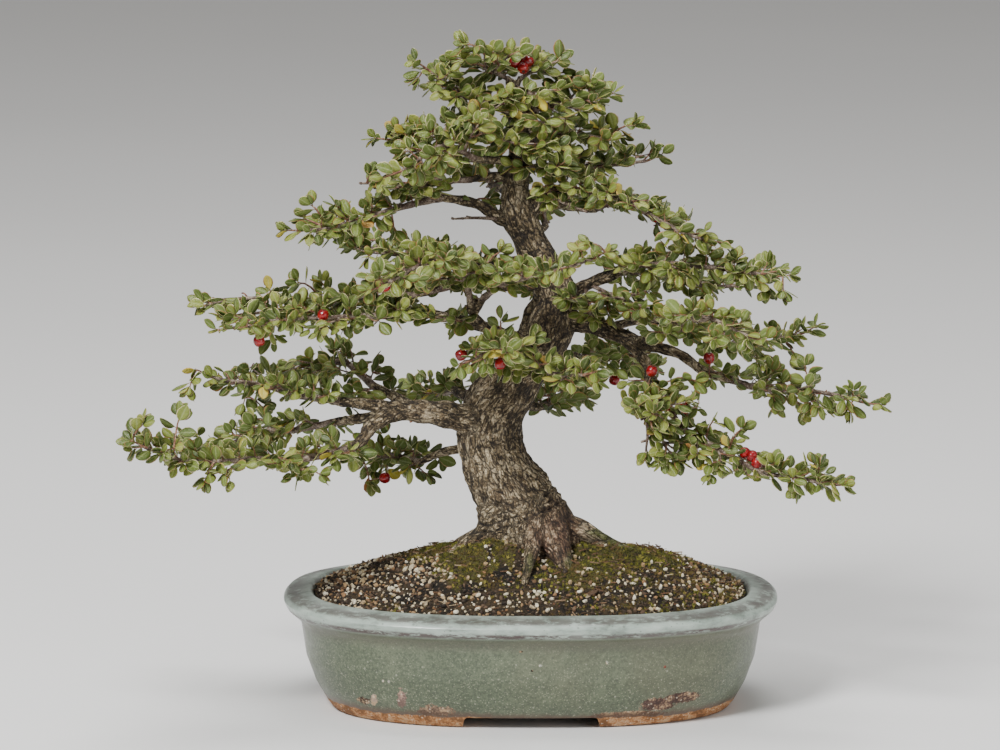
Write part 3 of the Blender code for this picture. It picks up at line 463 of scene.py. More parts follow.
# Surface roots, from inside the trunk's foot down into the soil
ROOTS = (
    ((0.000, -0.004, 0.102), (-0.020, -0.008, 0.0905), (-0.034, -0.010, 0.080), (-0.048, -0.016, 0.068)),
    ((0.006, -0.008, 0.100), (-0.002, -0.024, 0.091), (-0.008, -0.036, 0.081), (-0.014, -0.050, 0.066)),
    ((0.017, -0.018, 0.108), (0.0165, -0.033, 0.0965), (0.0135, -0.046, 0.0865), (0.0110, -0.058, 0.0775)),
    ((0.023, -0.010, 0.104), (0.0275, -0.022, 0.097), (0.033, -0.033, 0.086), (0.040, -0.044, 0.070)),
    ((0.026, -0.002, 0.104), (0.045, -0.004, 0.0970), (0.064, -0.006, 0.0880), (0.088, -0.010, 0.0790)),
    ((0.024, 0.008, 0.098), (0.040, 0.026, 0.087), (0.050, 0.038, 0.079), (0.060, 0.048, 0.067)),
    ((0.012, 0.012, 0.098), (0.008, 0.034, 0.086), (0.004, 0.048, 0.078), (0.000, 0.058, 0.066)),
    ((0.002, 0.010, 0.098), (-0.016, 0.028, 0.087), (-0.028, 0.038, 0.079), (-0.040, 0.048, 0.067)),
)
ROOT_RADII = (0.0098, 0.0070, 0.0046, 0.0026)
ROOT_STOUTNESS = (0.85, 0.70, 0.62, 1.30, 0.95, 1.0, 1.0, 1.0)

# Leafy side branches that leave a limb's wood inside the crown: the limb and the points
SPRIGS = (
    ("right_second", ((0.050, 0.010, 0.236), (0.060, -0.010, 0.234), (0.070, -0.028, 0.232), (0.080, -0.042, 0.231))),
    ("right_second", ((0.046, 0.014, 0.234), (0.048, -0.012, 0.229), (0.050, -0.034, 0.225))),
    ("right_droop", ((0.086, -0.050, 0.185), (0.087, -0.064, 0.170), (0.088, -0.074, 0.160), (0.096, -0.082, 0.153))),
    ("right_low_front", ((0.076, -0.062, 0.181), (0.079, -0.070, 0.168), (0.078, -0.078, 0.157))),
    ("right_fourth", ((0.018, -0.006, 0.305), (0.026, -0.020, 0.306), (0.034, -0.032, 0.308))),
    ("left_fourth", ((-0.0600, -0.030, 0.3008), (-0.070, -0.033, 0.300), (-0.080, -0.036, 0.300))),
    ("left_upper", ((-0.136, -0.002, 0.231), (-0.150, 0.002, 0.230), (-0.164, 0.005, 0.229))),
    ("left_second", ((-0.132, -0.049, 0.2220), (-0.146, -0.052, 0.222), (-0.158, -0.055, 0.221))),
    ("apex_left", ((0.002, -0.018, 0.356), (-0.008, -0.022, 0.362), (-0.020, -0.026, 0.369))),
    ("apex_right", ((0.006, -0.014, 0.352), (0.012, -0.026, 0.350), (0.018, -0.038, 0.349))),
    ("left_sixth", ((-0.003, -0.016, 0.340), (-0.012, -0.030, 0.338), (-0.018, -0.042, 0.337))),
    ("right_sixth", ((0.017, -0.012, 0.339), (0.020, -0.028, 0.336), (0.022, -0.040, 0.334))),
    ("left_fifth", ((-0.003, -0.014, 0.322), (0.004, -0.030, 0.322), (0.008, -0.042, 0.323))),
    ("right_fifth", ((0.017, -0.008, 0.323), (0.018, -0.026, 0.320), (0.022, -0.040, 0.319))),
    ("right_third", ((0.025, -0.013, 0.292), (0.034, -0.030, 0.288), (0.046, -0.044, 0.285))),
    ("left_third", ((-0.002, -0.012, 0.277), (-0.016, -0.030, 0.280), (-0.028, -0.042, 0.281))),
)

# Clear spaces between the tiers, as seen from the front, that pruning keeps free of leaves: how far
# right and how high the middle lies, and the reach to the sides and up and down
CLEARINGS = (
    (-0.035, 0.276, 0.0256, 0.0086),
    (0.050, 0.272, 0.0323, 0.0069),
    (0.068, 0.154, 0.0123, 0.0103),
    (-0.159, 0.201, 0.0201, 0.0086),
    (-0.155, 0.240, 0.0156, 0.0069),
    (0.085, 0.299, 0.0201, 0.0086),
    (0.049, 0.241, 0.0089, 0.0052),
    (0.134, 0.122, 0.0201, 0.0052),
    (-0.101, 0.166, 0.0089, 0.0040),
    (-0.011, 0.226, 0.0067, 0.0069),
    (-0.033, 0.230, 0.0123, 0.0029),
    (0.129, 0.230, 0.0089, 0.0040),
    (-0.087, 0.294, 0.0089, 0.0069),
    (-0.075, 0.207, 0.0089, 0.0052),
    (0.060, 0.169, 0.0067, 0.0069),
    (-0.140, 0.130, 0.0123, 0.0040),
    (-0.018, 0.293, 0.0067, 0.0040),
    (-0.119, 0.202, 0.0067, 0.0040),
    (0.125, 0.172, 0.0123, 0.0069),
    (0.182, 0.181, 0.0045, 0.0040),
)
# The front view comes from this far away and falls this much for each metre of depth
FRONT_DISTANCE = 3.0
FRONT_FALL = 0.161

# Pot, as in the frame: an oval whose middle lies to the right of the whole plant's middle
POT_X = 0.015
POT_HALF_WIDTH = 0.140
POT_HALF_DEPTH = 0.100
OVAL_POWER = 2.5
RIM_Z = 0.066
FLOOR_Z = 0.0125
UNDERSIDE_Z = 0.0078
FOOT_SOLE_Z = 0.0005
RIM_INNER, WALL_INNER, FLOOR_INNER = 0.0175, 0.0195, 0.025
WALL_INNER_Z = 0.035

# How far in from the lip's widest line each turn of the pot's outline lies, and how high
POT_PROFILE = (
    (0.0372, UNDERSIDE_Z),
    (0.0360, 0.0),
    (0.0272, 0.0),
    (0.0243, 0.0035),
    (0.0178, 0.015),
    (0.0127, 0.029),
    (0.0097, 0.0492),
    (0.0069, 0.0523),
    (0.0020, 0.0565),
    (0.0, 0.061),
    (0.0028, 0.0638),
    (0.0070, 0.0645),
    (0.0152, RIM_Z),
    (RIM_INNER, 0.0635),
    (WALL_INNER, WALL_INNER_Z),
    (FLOOR_INNER, FLOOR_Z),
)

# Gap between the two feet, front and back, and the drain holes
FEET_GAP_LOW, FEET_GAP_HIGH = 0.0397, 0.0368
FEET_GAP_Z = 0.0063
DRAIN_RADIUS = 0.011
DRAIN_SPREAD = 0.055

# Soil: a low dome up to the roots, with mounds of moss and earth on it. Each mound has its middle,
# its reach to the sides and to front and back, and its height
SOIL_EDGE_Z = 0.0630
SOIL_RISE = 0.0245
SOIL_ROUGH = 0.0007
MOUNDS = (
    (-0.006, -0.029, 0.034, 0.018, 0.0105),
    (-0.036, 0.002, 0.026, 0.022, 0.0030),
    (0.056, -0.012, 0.034, 0.020, 0.0055),
    (0.088, 0.010, 0.030, 0.030, 0.0030),
    (-0.027, -0.050, 0.014, 0.011, 0.0045),
    (0.052, -0.042, 0.018, 0.013, 0.0025),
    (0.010, 0.034, 0.040, 0.018, 0.0040),
)

# Swelling on the trunk's right: its middle and its radius
BURL = ((0.0215, -0.007, 0.1160), 0.0070)

# Dead leaves on the soil: distance to the right, distance to the back, length
DEAD_LEAVES = (
    (0.044, -0.064, 0.011),
    (0.050, -0.066, 0.009),
    (0.053, -0.062, 0.008),
    (-0.070, 0.020, 0.009),
    (0.090, 0.030, 0.010),
)

# Leaf of length one: where its rows of points lie, where its stalk ends, and its thickness
LEAF_ROWS = (0.0, 0.15, 0.29, 0.47, 0.67, 0.85, 0.955, 1.0)
LEAF_COLUMNS = (-1.0, -0.46, 0.46, 1.0)
LEAF_STALK = 0.15
LEAF_THICKNESS = 0.035

FLOOR_LEVEL = -0.0005

# Where the trunk's line stands on the whole, from left to right
TRUNK_AXIS_X = 0.010
# How far a leaf's middle stays from a clear space
LEAF_CLEAR = 0.003

# Places that a shoot of each limb reaches, so that its leaves fill out the outline
TIPS = {
    "apex_left": (
        (-0.021, -0.044, 0.378),
    ),
    "apex_right": (
        (0.007, 0.011, 0.368),
    ),
    "front_left": (
        (-0.003, -0.070, 0.266),
    ),
    "front_low_left": (
        (-0.002, -0.050, 0.225),
    ),
    "front_middle": (
        (0.047, -0.115, 0.277),
    ),
    "left_fourth": (
        (-0.075, -0.038, 0.304),
    ),
    "left_main": (
        (-0.174, -0.052, 0.189), (-0.106, -0.038, 0.187),
    ),
    "left_main_back": (
        (-0.151, 0.071, 0.157), (-0.140, 0.071, 0.157), (-0.081, 0.016, 0.172), (-0.069, 0.027, 0.182),
    ),
    "left_second": (
        (-0.157, -0.060, 0.220), (-0.128, -0.042, 0.214),
    ),
    "left_sixth": (
        (-0.047, -0.023, 0.358),
    ),
    "left_third": (
        (-0.106, -0.041, 0.288), (-0.093, -0.041, 0.288), (-0.061, -0.032, 0.274), (-0.009, -0.012, 0.288),
    ),
    "left_upper": (
        (-0.148, 0.009, 0.232), (-0.132, 0.016, 0.232), (-0.115, -0.012, 0.241), (-0.102, -0.012, 0.241),
    ),
    "low_inner_left": (
        (-0.077, 0.040, 0.119), (-0.071, 0.056, 0.143), (-0.045, 0.051, 0.121),
    ),
    "low_left_droop": (
        (-0.197, -0.113, 0.177), (-0.177, -0.103, 0.180), (-0.163, -0.100, 0.145), (-0.150, -0.100, 0.145),
        (-0.116, -0.082, 0.145), (-0.102, -0.082, 0.145),
    ),
    "right_droop": (
        (0.092, -0.058, 0.193), (0.105, -0.058, 0.193), (0.108, -0.054, 0.180), (0.113, -0.090, 0.147),
        (0.115, -0.074, 0.173), (0.130, -0.079, 0.169), (0.161, -0.091, 0.139), (0.170, -0.095, 0.152),
    ),
    "right_fifth": (
        (0.072, -0.000, 0.328),
    ),
    "right_middle": (
        (0.117, 0.038, 0.188), (0.164, 0.022, 0.196),
    ),
    "right_outer": (
        (0.149, -0.040, 0.195), (0.150, -0.058, 0.180), (0.166, -0.033, 0.173), (0.167, -0.043, 0.198),
        (0.179, -0.033, 0.173), (0.192, -0.050, 0.175),
    ),
    "right_second_back": (
        (0.150, 0.059, 0.227), (0.160, 0.059, 0.227),
    ),
    "right_sixth": (
        (0.048, -0.008, 0.353),
    ),
}


# Modelling tools


def deselect_all() -> None:
    """Leave object mode's selection empty."""
    if bpy.context.mode != "OBJECT":
        bpy.ops.object.mode_set(mode="OBJECT")
    bpy.ops.object.select_all(action="DESELECT")


def take_up(obj: bpy.types.Object) -> None:
    """Make one object the only selected one and the active one.

    Args:
        obj: The object to work on.
    """
    deselect_all()
    obj.select_set(True)
    bpy.context.view_layer.objects.active = obj


def apply_modifier(obj: bpy.types.Object, kind: str, **settings: object) -> None:
    """Add a modifier, set it and apply it.

    Args:
        obj: The object that takes it.
        kind: Blender's name for the modifier's type.
        settings: The modifier's own settings.
    """
    take_up(obj)
    modifier = obj.modifiers.new(kind.lower(), kind)
    for name, value in settings.items():
        setattr(modifier, name, value)
    bpy.ops.object.modifier_apply(modifier=modifier.name)


def dress(obj: bpy.types.Object, *finishes: bpy.types.Material) -> None:
    """Give an object these materials and no others.

    Args:
        obj: The object to dress.
        finishes: Its materials, in the order of its faces' indices.
    """
    if obj.data.materials:
        obj.data.materials.clear()
    for finish in finishes:
        obj.data.materials.append(finish)


def joined(name: str, pieces: Sequence[bpy.types.Object]) -> bpy.types.Object:
    """Join objects into one.

    Args:
        name: The new name.
        pieces: The objects; the first keeps its place in memory.

    Returns:
        The one object.
    """
    deselect_all()
    for piece in pieces:
        piece.select_set(True)
    bpy.context.view_layer.objects.active = pieces[0]
    if len(pieces) > 1:
        bpy.ops.object.join()
    pieces[0].name = pieces[0].data.name = name
    return pieces[0]


def smooth_by_angle(obj: bpy.types.Object, degrees: float) -> None:
    """Shade an object smooth, apart from edges sharper than an angle.

    Args:
        obj: The object.
        degrees: The angle.
    """
    take_up(obj)
    bpy.ops.object.shade_smooth_by_angle(angle=math.radians(degrees))


def smoothed_line(points: Sequence[Vector], steps: int) -> list[Vector]:
    """Points on one smooth curve through the given points.

    Args:
        points: The points to pass through.
        steps: How many pieces each stretch is cut into.

    Returns:
        The curve's points, the first and last of the given ones among them.
    """
    line = [points[0] * 2 - points[1], *points, points[-1] * 2 - points[-2]]
    found = []
    for a, b, c, d in zip(line, line[1:], line[2:], line[3:]):
        for step in range(steps):
            t = step / steps
            bend = (a * 2 - b * 5 + c * 4 - d) * t * t + (b * 3 - a - c * 3 + d) * t * t * t
            found.append((b * 2 + (c - a) * t + bend) * 0.5)
    found.append(points[-1].copy())
    return found


def smoothed_values(values: Sequence[float], steps: int) -> list[float]:
    """Numbers on one smooth curve through the given numbers, as smoothed_line does it."""
    return [point.x for point in smoothed_line([Vector((value, 0.0, 0.0)) for value in values], steps)]


def headings(points: Sequence[Vector]) -> list[Vector]:
    """The way that a line runs at each of its points."""
    ways = [(b - a).normalized() for a, b in zip(points, points[1:])]
    inner = [(a + b).normalized() for a, b in zip(ways, ways[1:])]
    return [ways[0], *inner, ways[-1]]


def lofted(name: str, rings: Sequence[Sequence[Vector]]) -> bpy.types.Object:
    """A closed skin through rings of equal count, extruded ring by ring from a circle.

    Args:
        name: The object's name.
        rings: The rings, each counter-clockwise seen from the last one's side.

    Returns:
        The skin, with both ends filled.
    """
    deselect_all()
    bpy.ops.mesh.primitive_circle_add(vertices=len(rings[0]), fill_type="NGON")
    obj = bpy.context.object
    obj.name = obj.data.name = name
    order = obj.data.attributes.new("order", "INT", "POINT")
    order.data.foreach_set("value", range(len(rings[0])))
    for vertex, place in zip(obj.data.vertices, rings[0]):
        vertex.co = place
    bpy.ops.object.mode_set(mode="EDIT")
    bpy.ops.mesh.select_all(action="SELECT")
    for ring in rings[1:]:
        bpy.ops.mesh.extrude_region_move()
        skin = bmesh.from_edit_mesh(obj.data)
        number = skin.verts.layers.int["order"]
        for vertex in skin.verts:
            if vertex.select:
                vertex.co = ring[vertex[number]]
        bmesh.update_edit_mesh(obj.data)
    bpy.ops.mesh.select_all(action="SELECT")
    bpy.ops.mesh.normals_make_consistent(inside=False)
    bpy.ops.object.mode_set(mode="OBJECT")
    obj.data.attributes.remove(obj.data.attributes["order"])
    return obj


def ring_round(centre: Vector, way: Vector, across: Vector, radii: Sequence[float]) -> list[Vector]:
    """A ring of points round a line.

    Args:
        centre: The ring's middle.
        way: The line's direction there.
        across: A direction square to it, where the ring starts.
        radii: The reach of each point from the middle.

    Returns:
        The points, counter-clockwise seen from ahead.
    """
    over = way.cross(across)
    turn = math.tau / len(radii)
    return [
        centre + (across * math.cos(k * turn) + over * math.sin(k * turn)) * reach
        for k, reach in enumerate(radii)
    ]


def tube_rings(
    points: Sequence[Vector],
    radii: Sequence[float],
    sides: int,
    flutes: Callable[[int, float], float],
    ways: Sequence[Vector] | None = None,
) -> list[list[Vector]]:
    """Rings for a tube that follows a line without turning about it.

    Args:
        points: The line.
        radii: The tube's radius at each point.
        sides: How many points each ring has.
        flutes: The share of the radius at a ring's number and an angle.
        ways: The direction that each ring faces, where it isn't the line's own.

    Returns:
        One ring for each point of the line.
    """
    ways = ways or headings(points)
    across = ways[0].orthogonal().normalized()
    rings = []
    for level, (point, way, radius) in enumerate(zip(points, ways, radii)):
        across = (across - way * across.dot(way)).normalized()
        reaches = [radius * flutes(level, math.tau * k / sides) for k in range(sides)]
        rings.append(ring_round(point, way, across, reaches))
    return rings


@dataclass(frozen=True)
class Run:
    """A round twig, branch or root: its line and its radius at each point."""

    points: Sequence[Vector]
    radii: Sequence[float]


def round_runs(name: str, runs: Iterable[Run], roundness: int) -> bpy.types.Object:
    """Tubes with closed ends along lines, in one mesh.

    Args:
        name: The mesh's name.
        runs: The tubes.
        roundness: Blender's bevel resolution for the tubes' sections.

    Returns:
        The mesh.
    """
    curve = bpy.data.curves.new(name, "CURVE")
    curve.dimensions = "3D"
    curve.bevel_depth = 1.0
    curve.bevel_resolution = roundness
    curve.use_fill_caps = True
    for run in runs:
        spline = curve.splines.new("POLY")
        spline.points.add(len(run.points) - 1)
        for point, place, radius in zip(spline.points, run.points, run.radii):
            point.co = (*place, 1.0)
            point.radius = radius
    obj = bpy.data.objects.new(name, curve)
    bpy.context.scene.collection.objects.link(obj)
    take_up(obj)
    bpy.ops.object.convert(target="MESH")
    return bpy.context.object


@dataclass(frozen=True)
class Mould:
    """A small shape that was modelled once, read so that copies can be struck from it.

    Attributes:
        points: Its vertices, one row each.
        corners: The vertex of each face corner.
        starts: The first corner of each face.
        finishes: The material index of each face.
        smooth: Whether each face is shaded smooth.
        map: The UV place of each face corner.
    """

    points: np.ndarray
    corners: np.ndarray
    starts: np.ndarray
    finishes: np.ndarray
    smooth: np.ndarray
    map: np.ndarray

    @classmethod
    def taken_from(cls, obj: bpy.types.Object) -> "Mould":
        """Read a modelled shape and remove its object.

        Args:
            obj: The modelled shape.

        Returns:
            The mould.
        """
        mesh = obj.data
        points = np.empty(len(mesh.vertices) * 3, np.float32)
        mesh.vertices.foreach_get("co", points)
        corners = np.empty(len(mesh.loops), np.int32)
        mesh.loops.foreach_get("vertex_index", corners)
        starts = np.empty(len(mesh.polygons), np.int32)
        mesh.polygons.foreach_get("loop_start", starts)
        finishes = np.empty(len(mesh.polygons), np.int32)
        mesh.polygons.foreach_get("material_index", finishes)
        smooth = np.empty(len(mesh.polygons), bool)
        mesh.polygons.foreach_get("use_smooth", smooth)
        flat = np.zeros(len(mesh.loops) * 2, np.float32)
        if mesh.uv_layers:
            mesh.uv_layers[0].data.foreach_get("uv", flat)
        bpy.data.objects.remove(obj, do_unlink=True)
        return cls(points.reshape(-1, 3), corners, starts, finishes, smooth, flat.reshape(-1, 2))


@dataclass
class Casting:
    """Copies of moulds, each with points of its own, gathered into one mesh."""

    name: str
    points: list[np.ndarray] = field(default_factory=list)
    corners: list[np.ndarray] = field(default_factory=list)
    starts: list[np.ndarray] = field(default_factory=list)
    finishes: list[np.ndarray] = field(default_factory=list)
    smooth: list[np.ndarray] = field(default_factory=list)
    maps: list[np.ndarray] = field(default_factory=list)
    tints: list[np.ndarray] = field(default_factory=list)
    ages: list[np.ndarray] = field(default_factory=list)
    point_count: int = 0
    corner_count: int = 0

    def strike(self, mould: Mould, place: Matrix, tint: float, age: float) -> None:
        """Add a copy.

        Args:
            mould: The shape to copy.
            place: The matrix that puts the copy in place.
            tint: The copy's own shade, from 0 to 1.
            age: How faded or withered it is, from 0 to 1.
        """
        turn = np.array(place.to_3x3(), np.float32)
        self.points.append(mould.points @ turn.T + np.array(place.translation, np.float32))
        self.corners.append(mould.corners + self.point_count)
        self.starts.append(mould.starts + self.corner_count)
        self.finishes.append(mould.finishes)
        self.smooth.append(mould.smooth)
        self.maps.append(mould.map)
        self.tints.append(np.full(len(mould.points), tint, np.float32))
        self.ages.append(np.full(len(mould.points), age, np.float32))
        self.point_count += len(mould.points)
        self.corner_count += len(mould.corners)

    def poured(self, *finishes: bpy.types.Material) -> bpy.types.Object:
        """The copies as one object.

        Args:
            finishes: The materials that the moulds' faces point at.

        Returns:
            The object.
        """
        mesh = bpy.data.meshes.new(self.name)
        mesh.vertices.add(self.point_count)
        mesh.vertices.foreach_set("co", np.concatenate(self.points).ravel())
        mesh.loops.add(self.corner_count)
        mesh.loops.foreach_set("vertex_index", np.concatenate(self.corners))
        starts = np.concatenate(self.starts)
        mesh.polygons.add(len(starts))
        mesh.polygons.foreach_set("loop_start", starts)
        mesh.polygons.foreach_set("material_index", np.concatenate(self.finishes))
        mesh.polygons.foreach_set("use_smooth", np.concatenate(self.smooth))
        mesh.uv_layers.new(name="UVMap").data.foreach_set("uv", np.concatenate(self.maps).ravel())
        for name, values in (("tint", self.tints), ("age", self.ages)):
            mesh.attributes.new(name, "FLOAT", "POINT").data.foreach_set("value", np.concatenate(values))
        mesh.update(calc_edges=True)
        obj = bpy.data.objects.new(self.name, mesh)
        bpy.context.scene.collection.objects.link(obj)
        dress(obj, *finishes)
        return obj


def placed(centre: Vector, along: Vector, normal: Vector, size: Vector | float) -> Matrix:
    """A matrix that lays a mould's +Y along one direction and its +Z near another.

    Args:
        centre: Where the mould's origin goes.
        along: The direction for the mould's +Y.
        normal: The direction that the mould's +Z turns towards.
        size: The scale, one number or one for each of the mould's axes.

    Returns:
        The matrix.
    """
    along = along.normalized()
    across = along.cross(normal).normalized()
    upward = across.cross(along)
    scale = size if isinstance(size, Vector) else Vector((size, size, size))
    columns = (across * scale.x, along * scale.y, upward * scale.z, centre)
    return Matrix([[column[row] for column in columns] for row in range(3)] + [[0, 0, 0, 1]])


def random_way(rng: random.Random) -> Vector:
    """A direction drawn evenly from all directions."""
    height = rng.uniform(-1.0, 1.0)
    angle = rng.uniform(0.0, math.tau)
    flat = math.sqrt(1.0 - height * height)
    return Vector((flat * math.cos(angle), flat * math.sin(angle), height))


def add_values(obj: bpy.types.Object, name: str, values: Sequence[float]) -> None:
    """Store one number for each vertex of an object, for its material to read."""
    obj.data.attributes.new(name, "FLOAT", "POINT").data.foreach_set("value", values)


def settle(piece: bpy.types.Object, slot: Slot, *nodes: str) -> bpy.types.Object:
    """Tie a finished piece to the frame and report it.

    Args:
        piece: The finished piece.
        slot: The record's material slot for the piece; not used.
        nodes: The frame's nodes that it takes the place of.

    Returns:
        The piece.
    """
    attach(piece, BODY)
    for node in nodes:
        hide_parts(node)
    LOG.info("%s: %d faces", piece.name, len(piece.data.polygons))
    return piece


# Materials

Socket = bpy.types.NodeSocket
Colour = tuple[float, float, float]


@dataclass
class NodeSheet:
    """A node tree that is filled node by node."""

    tree: bpy.types.NodeTree

    def add(self, kind: str, inputs: dict[str | int, object] | None = None, **settings: object) -> bpy.types.Node:
        """Add a node.

        Args:
            kind: Blender's name for the node's type.
            inputs: What feeds its inputs: another node's output, or a constant.
            settings: The node's own settings.

        Returns:
            The node.
        """
        node = self.tree.nodes.new(kind)
        for name, value in settings.items():
            setattr(node, name, value)
        for key, value in (inputs or {}).items():
            self.feed(node.inputs[key], value)
        return node

    def feed(self, socket: Socket, value: object) -> None:
        """Link an output to an input, or set the input's constant."""
        if isinstance(value, Socket):
            self.tree.links.new(value, socket)
        elif isinstance(value, tuple) and len(value) == 3 and socket.type == "RGBA":
            socket.default_value = (*value, 1.0)
        else:
            socket.default_value = value

    def place(self) -> Socket:
        """The place on the object, in its own metres."""
        return self.add("ShaderNodeTexCoord").outputs["Object"]

    def value_of(self, name: str) -> Socket:
        """A number stored on the mesh."""
        return self.add("ShaderNodeAttribute", attribute_name=name).outputs["Fac"]

    def vector_of(self, name: str) -> Socket:
        """A vector stored on the mesh."""
        return self.add("ShaderNodeAttribute", attribute_name=name).outputs["Vector"]

    def split(self, vector: Socket) -> tuple[Socket, Socket, Socket]:
        """The three parts of a vector."""
        parts = self.add("ShaderNodeSeparateXYZ", {0: vector}).outputs
        return parts[0], parts[1], parts[2]

    def maths(self, operation: str, *values: object) -> Socket:
        """The result of a sum on numbers."""
        return self.add("ShaderNodeMath", dict(enumerate(values)), operation=operation).outputs[0]

    def between(self, value: object, low: float, high: float, out_low: float = 0.0, out_high: float = 1.0) -> Socket:
        """A number carried smoothly from one range to another and held at its ends."""
        inputs = {"Value": value, "From Min": low, "From Max": high, "To Min": out_low, "To Max": out_high}
        return self.add("ShaderNodeMapRange", inputs, interpolation_type="SMOOTHSTEP").outputs[0]

    def noise(self, where: Socket, scale: float, detail: float = 3.0, rough: float = 0.5) -> Socket:
        """Soft noise from 0 to 1."""
        inputs = {"Vector": where, "Scale": scale, "Detail": detail, "Roughness": rough}
        return self.add("ShaderNodeTexNoise", inputs).outputs[0]

    def cells(self, where: Socket, scale: float, output: str = "Distance", feature: str = "F1") -> Socket:
        """Cell noise."""
        inputs = {"Vector": where, "Scale": scale}
        return self.add("ShaderNodeTexVoronoi", inputs, feature=feature).outputs[output]

    def mix(self, share: object, first: object, second: object, blend: str = "MIX") -> Socket:
        """A mix of two colours."""
        node = self.add("ShaderNodeMix", data_type="RGBA", blend_type=blend)
        self.feed(node.inputs[0], share)
        self.feed(node.inputs[6], first)
        self.feed(node.inputs[7], second)
        return node.outputs[2]

    def ramp(self, value: Socket, *stops: tuple[float, Colour]) -> Socket:
        """A colour looked up on a ramp."""
        node = self.add("ShaderNodeValToRGB", {0: value})
        bar = node.color_ramp.elements
        while len(bar) < len(stops):
            bar.new(1.0)
        for mark, (at, colour) in zip(bar, stops):
            mark.position = at
            mark.color = (*colour, 1.0)
        return node.outputs[0]

    def group(self, tree: bpy.types.NodeTree, **inputs: object) -> bpy.types.Node:
        """A shared effect, with what feeds it."""
        node = self.add("ShaderNodeGroup")
        node.node_tree = tree
        for name, value in inputs.items():
            self.feed(node.inputs[name.replace("_", " ")], value)
        return node

    def bump(self, height: Socket, depth: float, strength: float = 1.0, under: Socket | None = None) -> Socket:
        """A normal bent by a height.

        Args:
            height: The height, from 0 to 1.
            depth: The height's size in metres.
            strength: How much of it shows.
            under: A normal that is bent already.

        Returns:
            The normal.
        """
        inputs: dict[str | int, object] = {"Height": height, "Distance": depth, "Strength": strength}
        if under is not None:
            inputs["Normal"] = under
        return self.add("ShaderNodeBump", inputs).outputs[0]

    def surface(self, **inputs: object) -> None:
        """The one Principled shader and the output; an input's name has _ for each space."""
        named = {name.replace("_", " "): value for name, value in inputs.items()}
        shader = self.add("ShaderNodeBsdfPrincipled", named)
        self.add("ShaderNodeOutputMaterial", {0: shader.outputs[0]})


def shared_group(
    name: str, inputs: Sequence[tuple[str, str, float]], outputs: Sequence[tuple[str, str]]
) -> tuple[bpy.types.NodeTree, NodeSheet, bpy.types.Node, bpy.types.Node]:
    """A new node group with its sockets.

    Args:
        name: The group's name.
        inputs: Name, socket type and default of each input.
        outputs: Name and socket type of each output.

    Returns:
        The group, its sheet, its input node and its output node.
    """
    tree = bpy.data.node_groups.new(name, "ShaderNodeTree")
    for label, kind, default in inputs:
        socket = tree.interface.new_socket(label, in_out="INPUT", socket_type=kind)
        if kind == "NodeSocketFloat":
            socket.default_value = default
    for label, kind in outputs:
        tree.interface.new_socket(label, in_out="OUTPUT", socket_type=kind)
    sheet = NodeSheet(tree)
    return tree, sheet, sheet.add("NodeGroupInput"), sheet.add("NodeGroupOutput")


def mottle_group() -> bpy.types.NodeTree:
    """Two sizes of soft noise in one value from 0 to 1."""
    if found := bpy.data.node_groups.get("mottle"):
        return found
    tree, sheet, given, put = shared_group(
        "mottle",
        [("Where", "NodeSocketVector", 0.0), ("Scale", "NodeSocketFloat", 50.0), ("Fine share", "NodeSocketFloat", 0.4)],
        [("Value", "NodeSocketFloat")],
    )
    coarse = sheet.noise(given.outputs["Where"], 1.0, 4.0, 0.55)
    sheet.feed(coarse.node.inputs["Scale"], given.outputs["Scale"])
    fine = sheet.noise(given.outputs["Where"], 1.0, 3.0, 0.6)
    sheet.feed(fine.node.inputs["Scale"], sheet.maths("MULTIPLY", given.outputs["Scale"], 6.3))
    both = sheet.maths("MULTIPLY_ADD", sheet.maths("SUBTRACT", fine, 0.5), given.outputs["Fine share"], coarse)
    sheet.feed(put.inputs["Value"], sheet.between(both, 0.25, 0.75))
    return tree


def specks_group() -> bpy.types.NodeTree:
    """A mask of small round specks: Share of the cells hold one."""
    if found := bpy.data.node_groups.get("specks"):
        return found
    tree, sheet, given, put = shared_group(
        "specks",
        [
            ("Where", "NodeSocketVector", 0.0),
            ("Scale", "NodeSocketFloat", 400.0),
            ("Share", "NodeSocketFloat", 0.3),
            ("Size", "NodeSocketFloat", 0.3),
        ],
        [("Mask", "NodeSocketFloat")],
    )
    cell = sheet.add("ShaderNodeTexVoronoi", {"Vector": given.outputs["Where"], "Scale": given.outputs["Scale"]})
    luck, spread, _ = sheet.split(cell.outputs["Color"])
    reach = sheet.maths("MULTIPLY", given.outputs["Size"], sheet.maths("ADD", spread, 0.4))
    inside = sheet.maths("SUBTRACT", reach, cell.outputs["Distance"])
    soft = sheet.between(inside, -0.03, 0.05)
    chosen = sheet.maths("LESS_THAN", luck, given.outputs["Share"])
    sheet.feed(put.inputs["Mask"], sheet.maths("MULTIPLY", soft, chosen))
    return tree


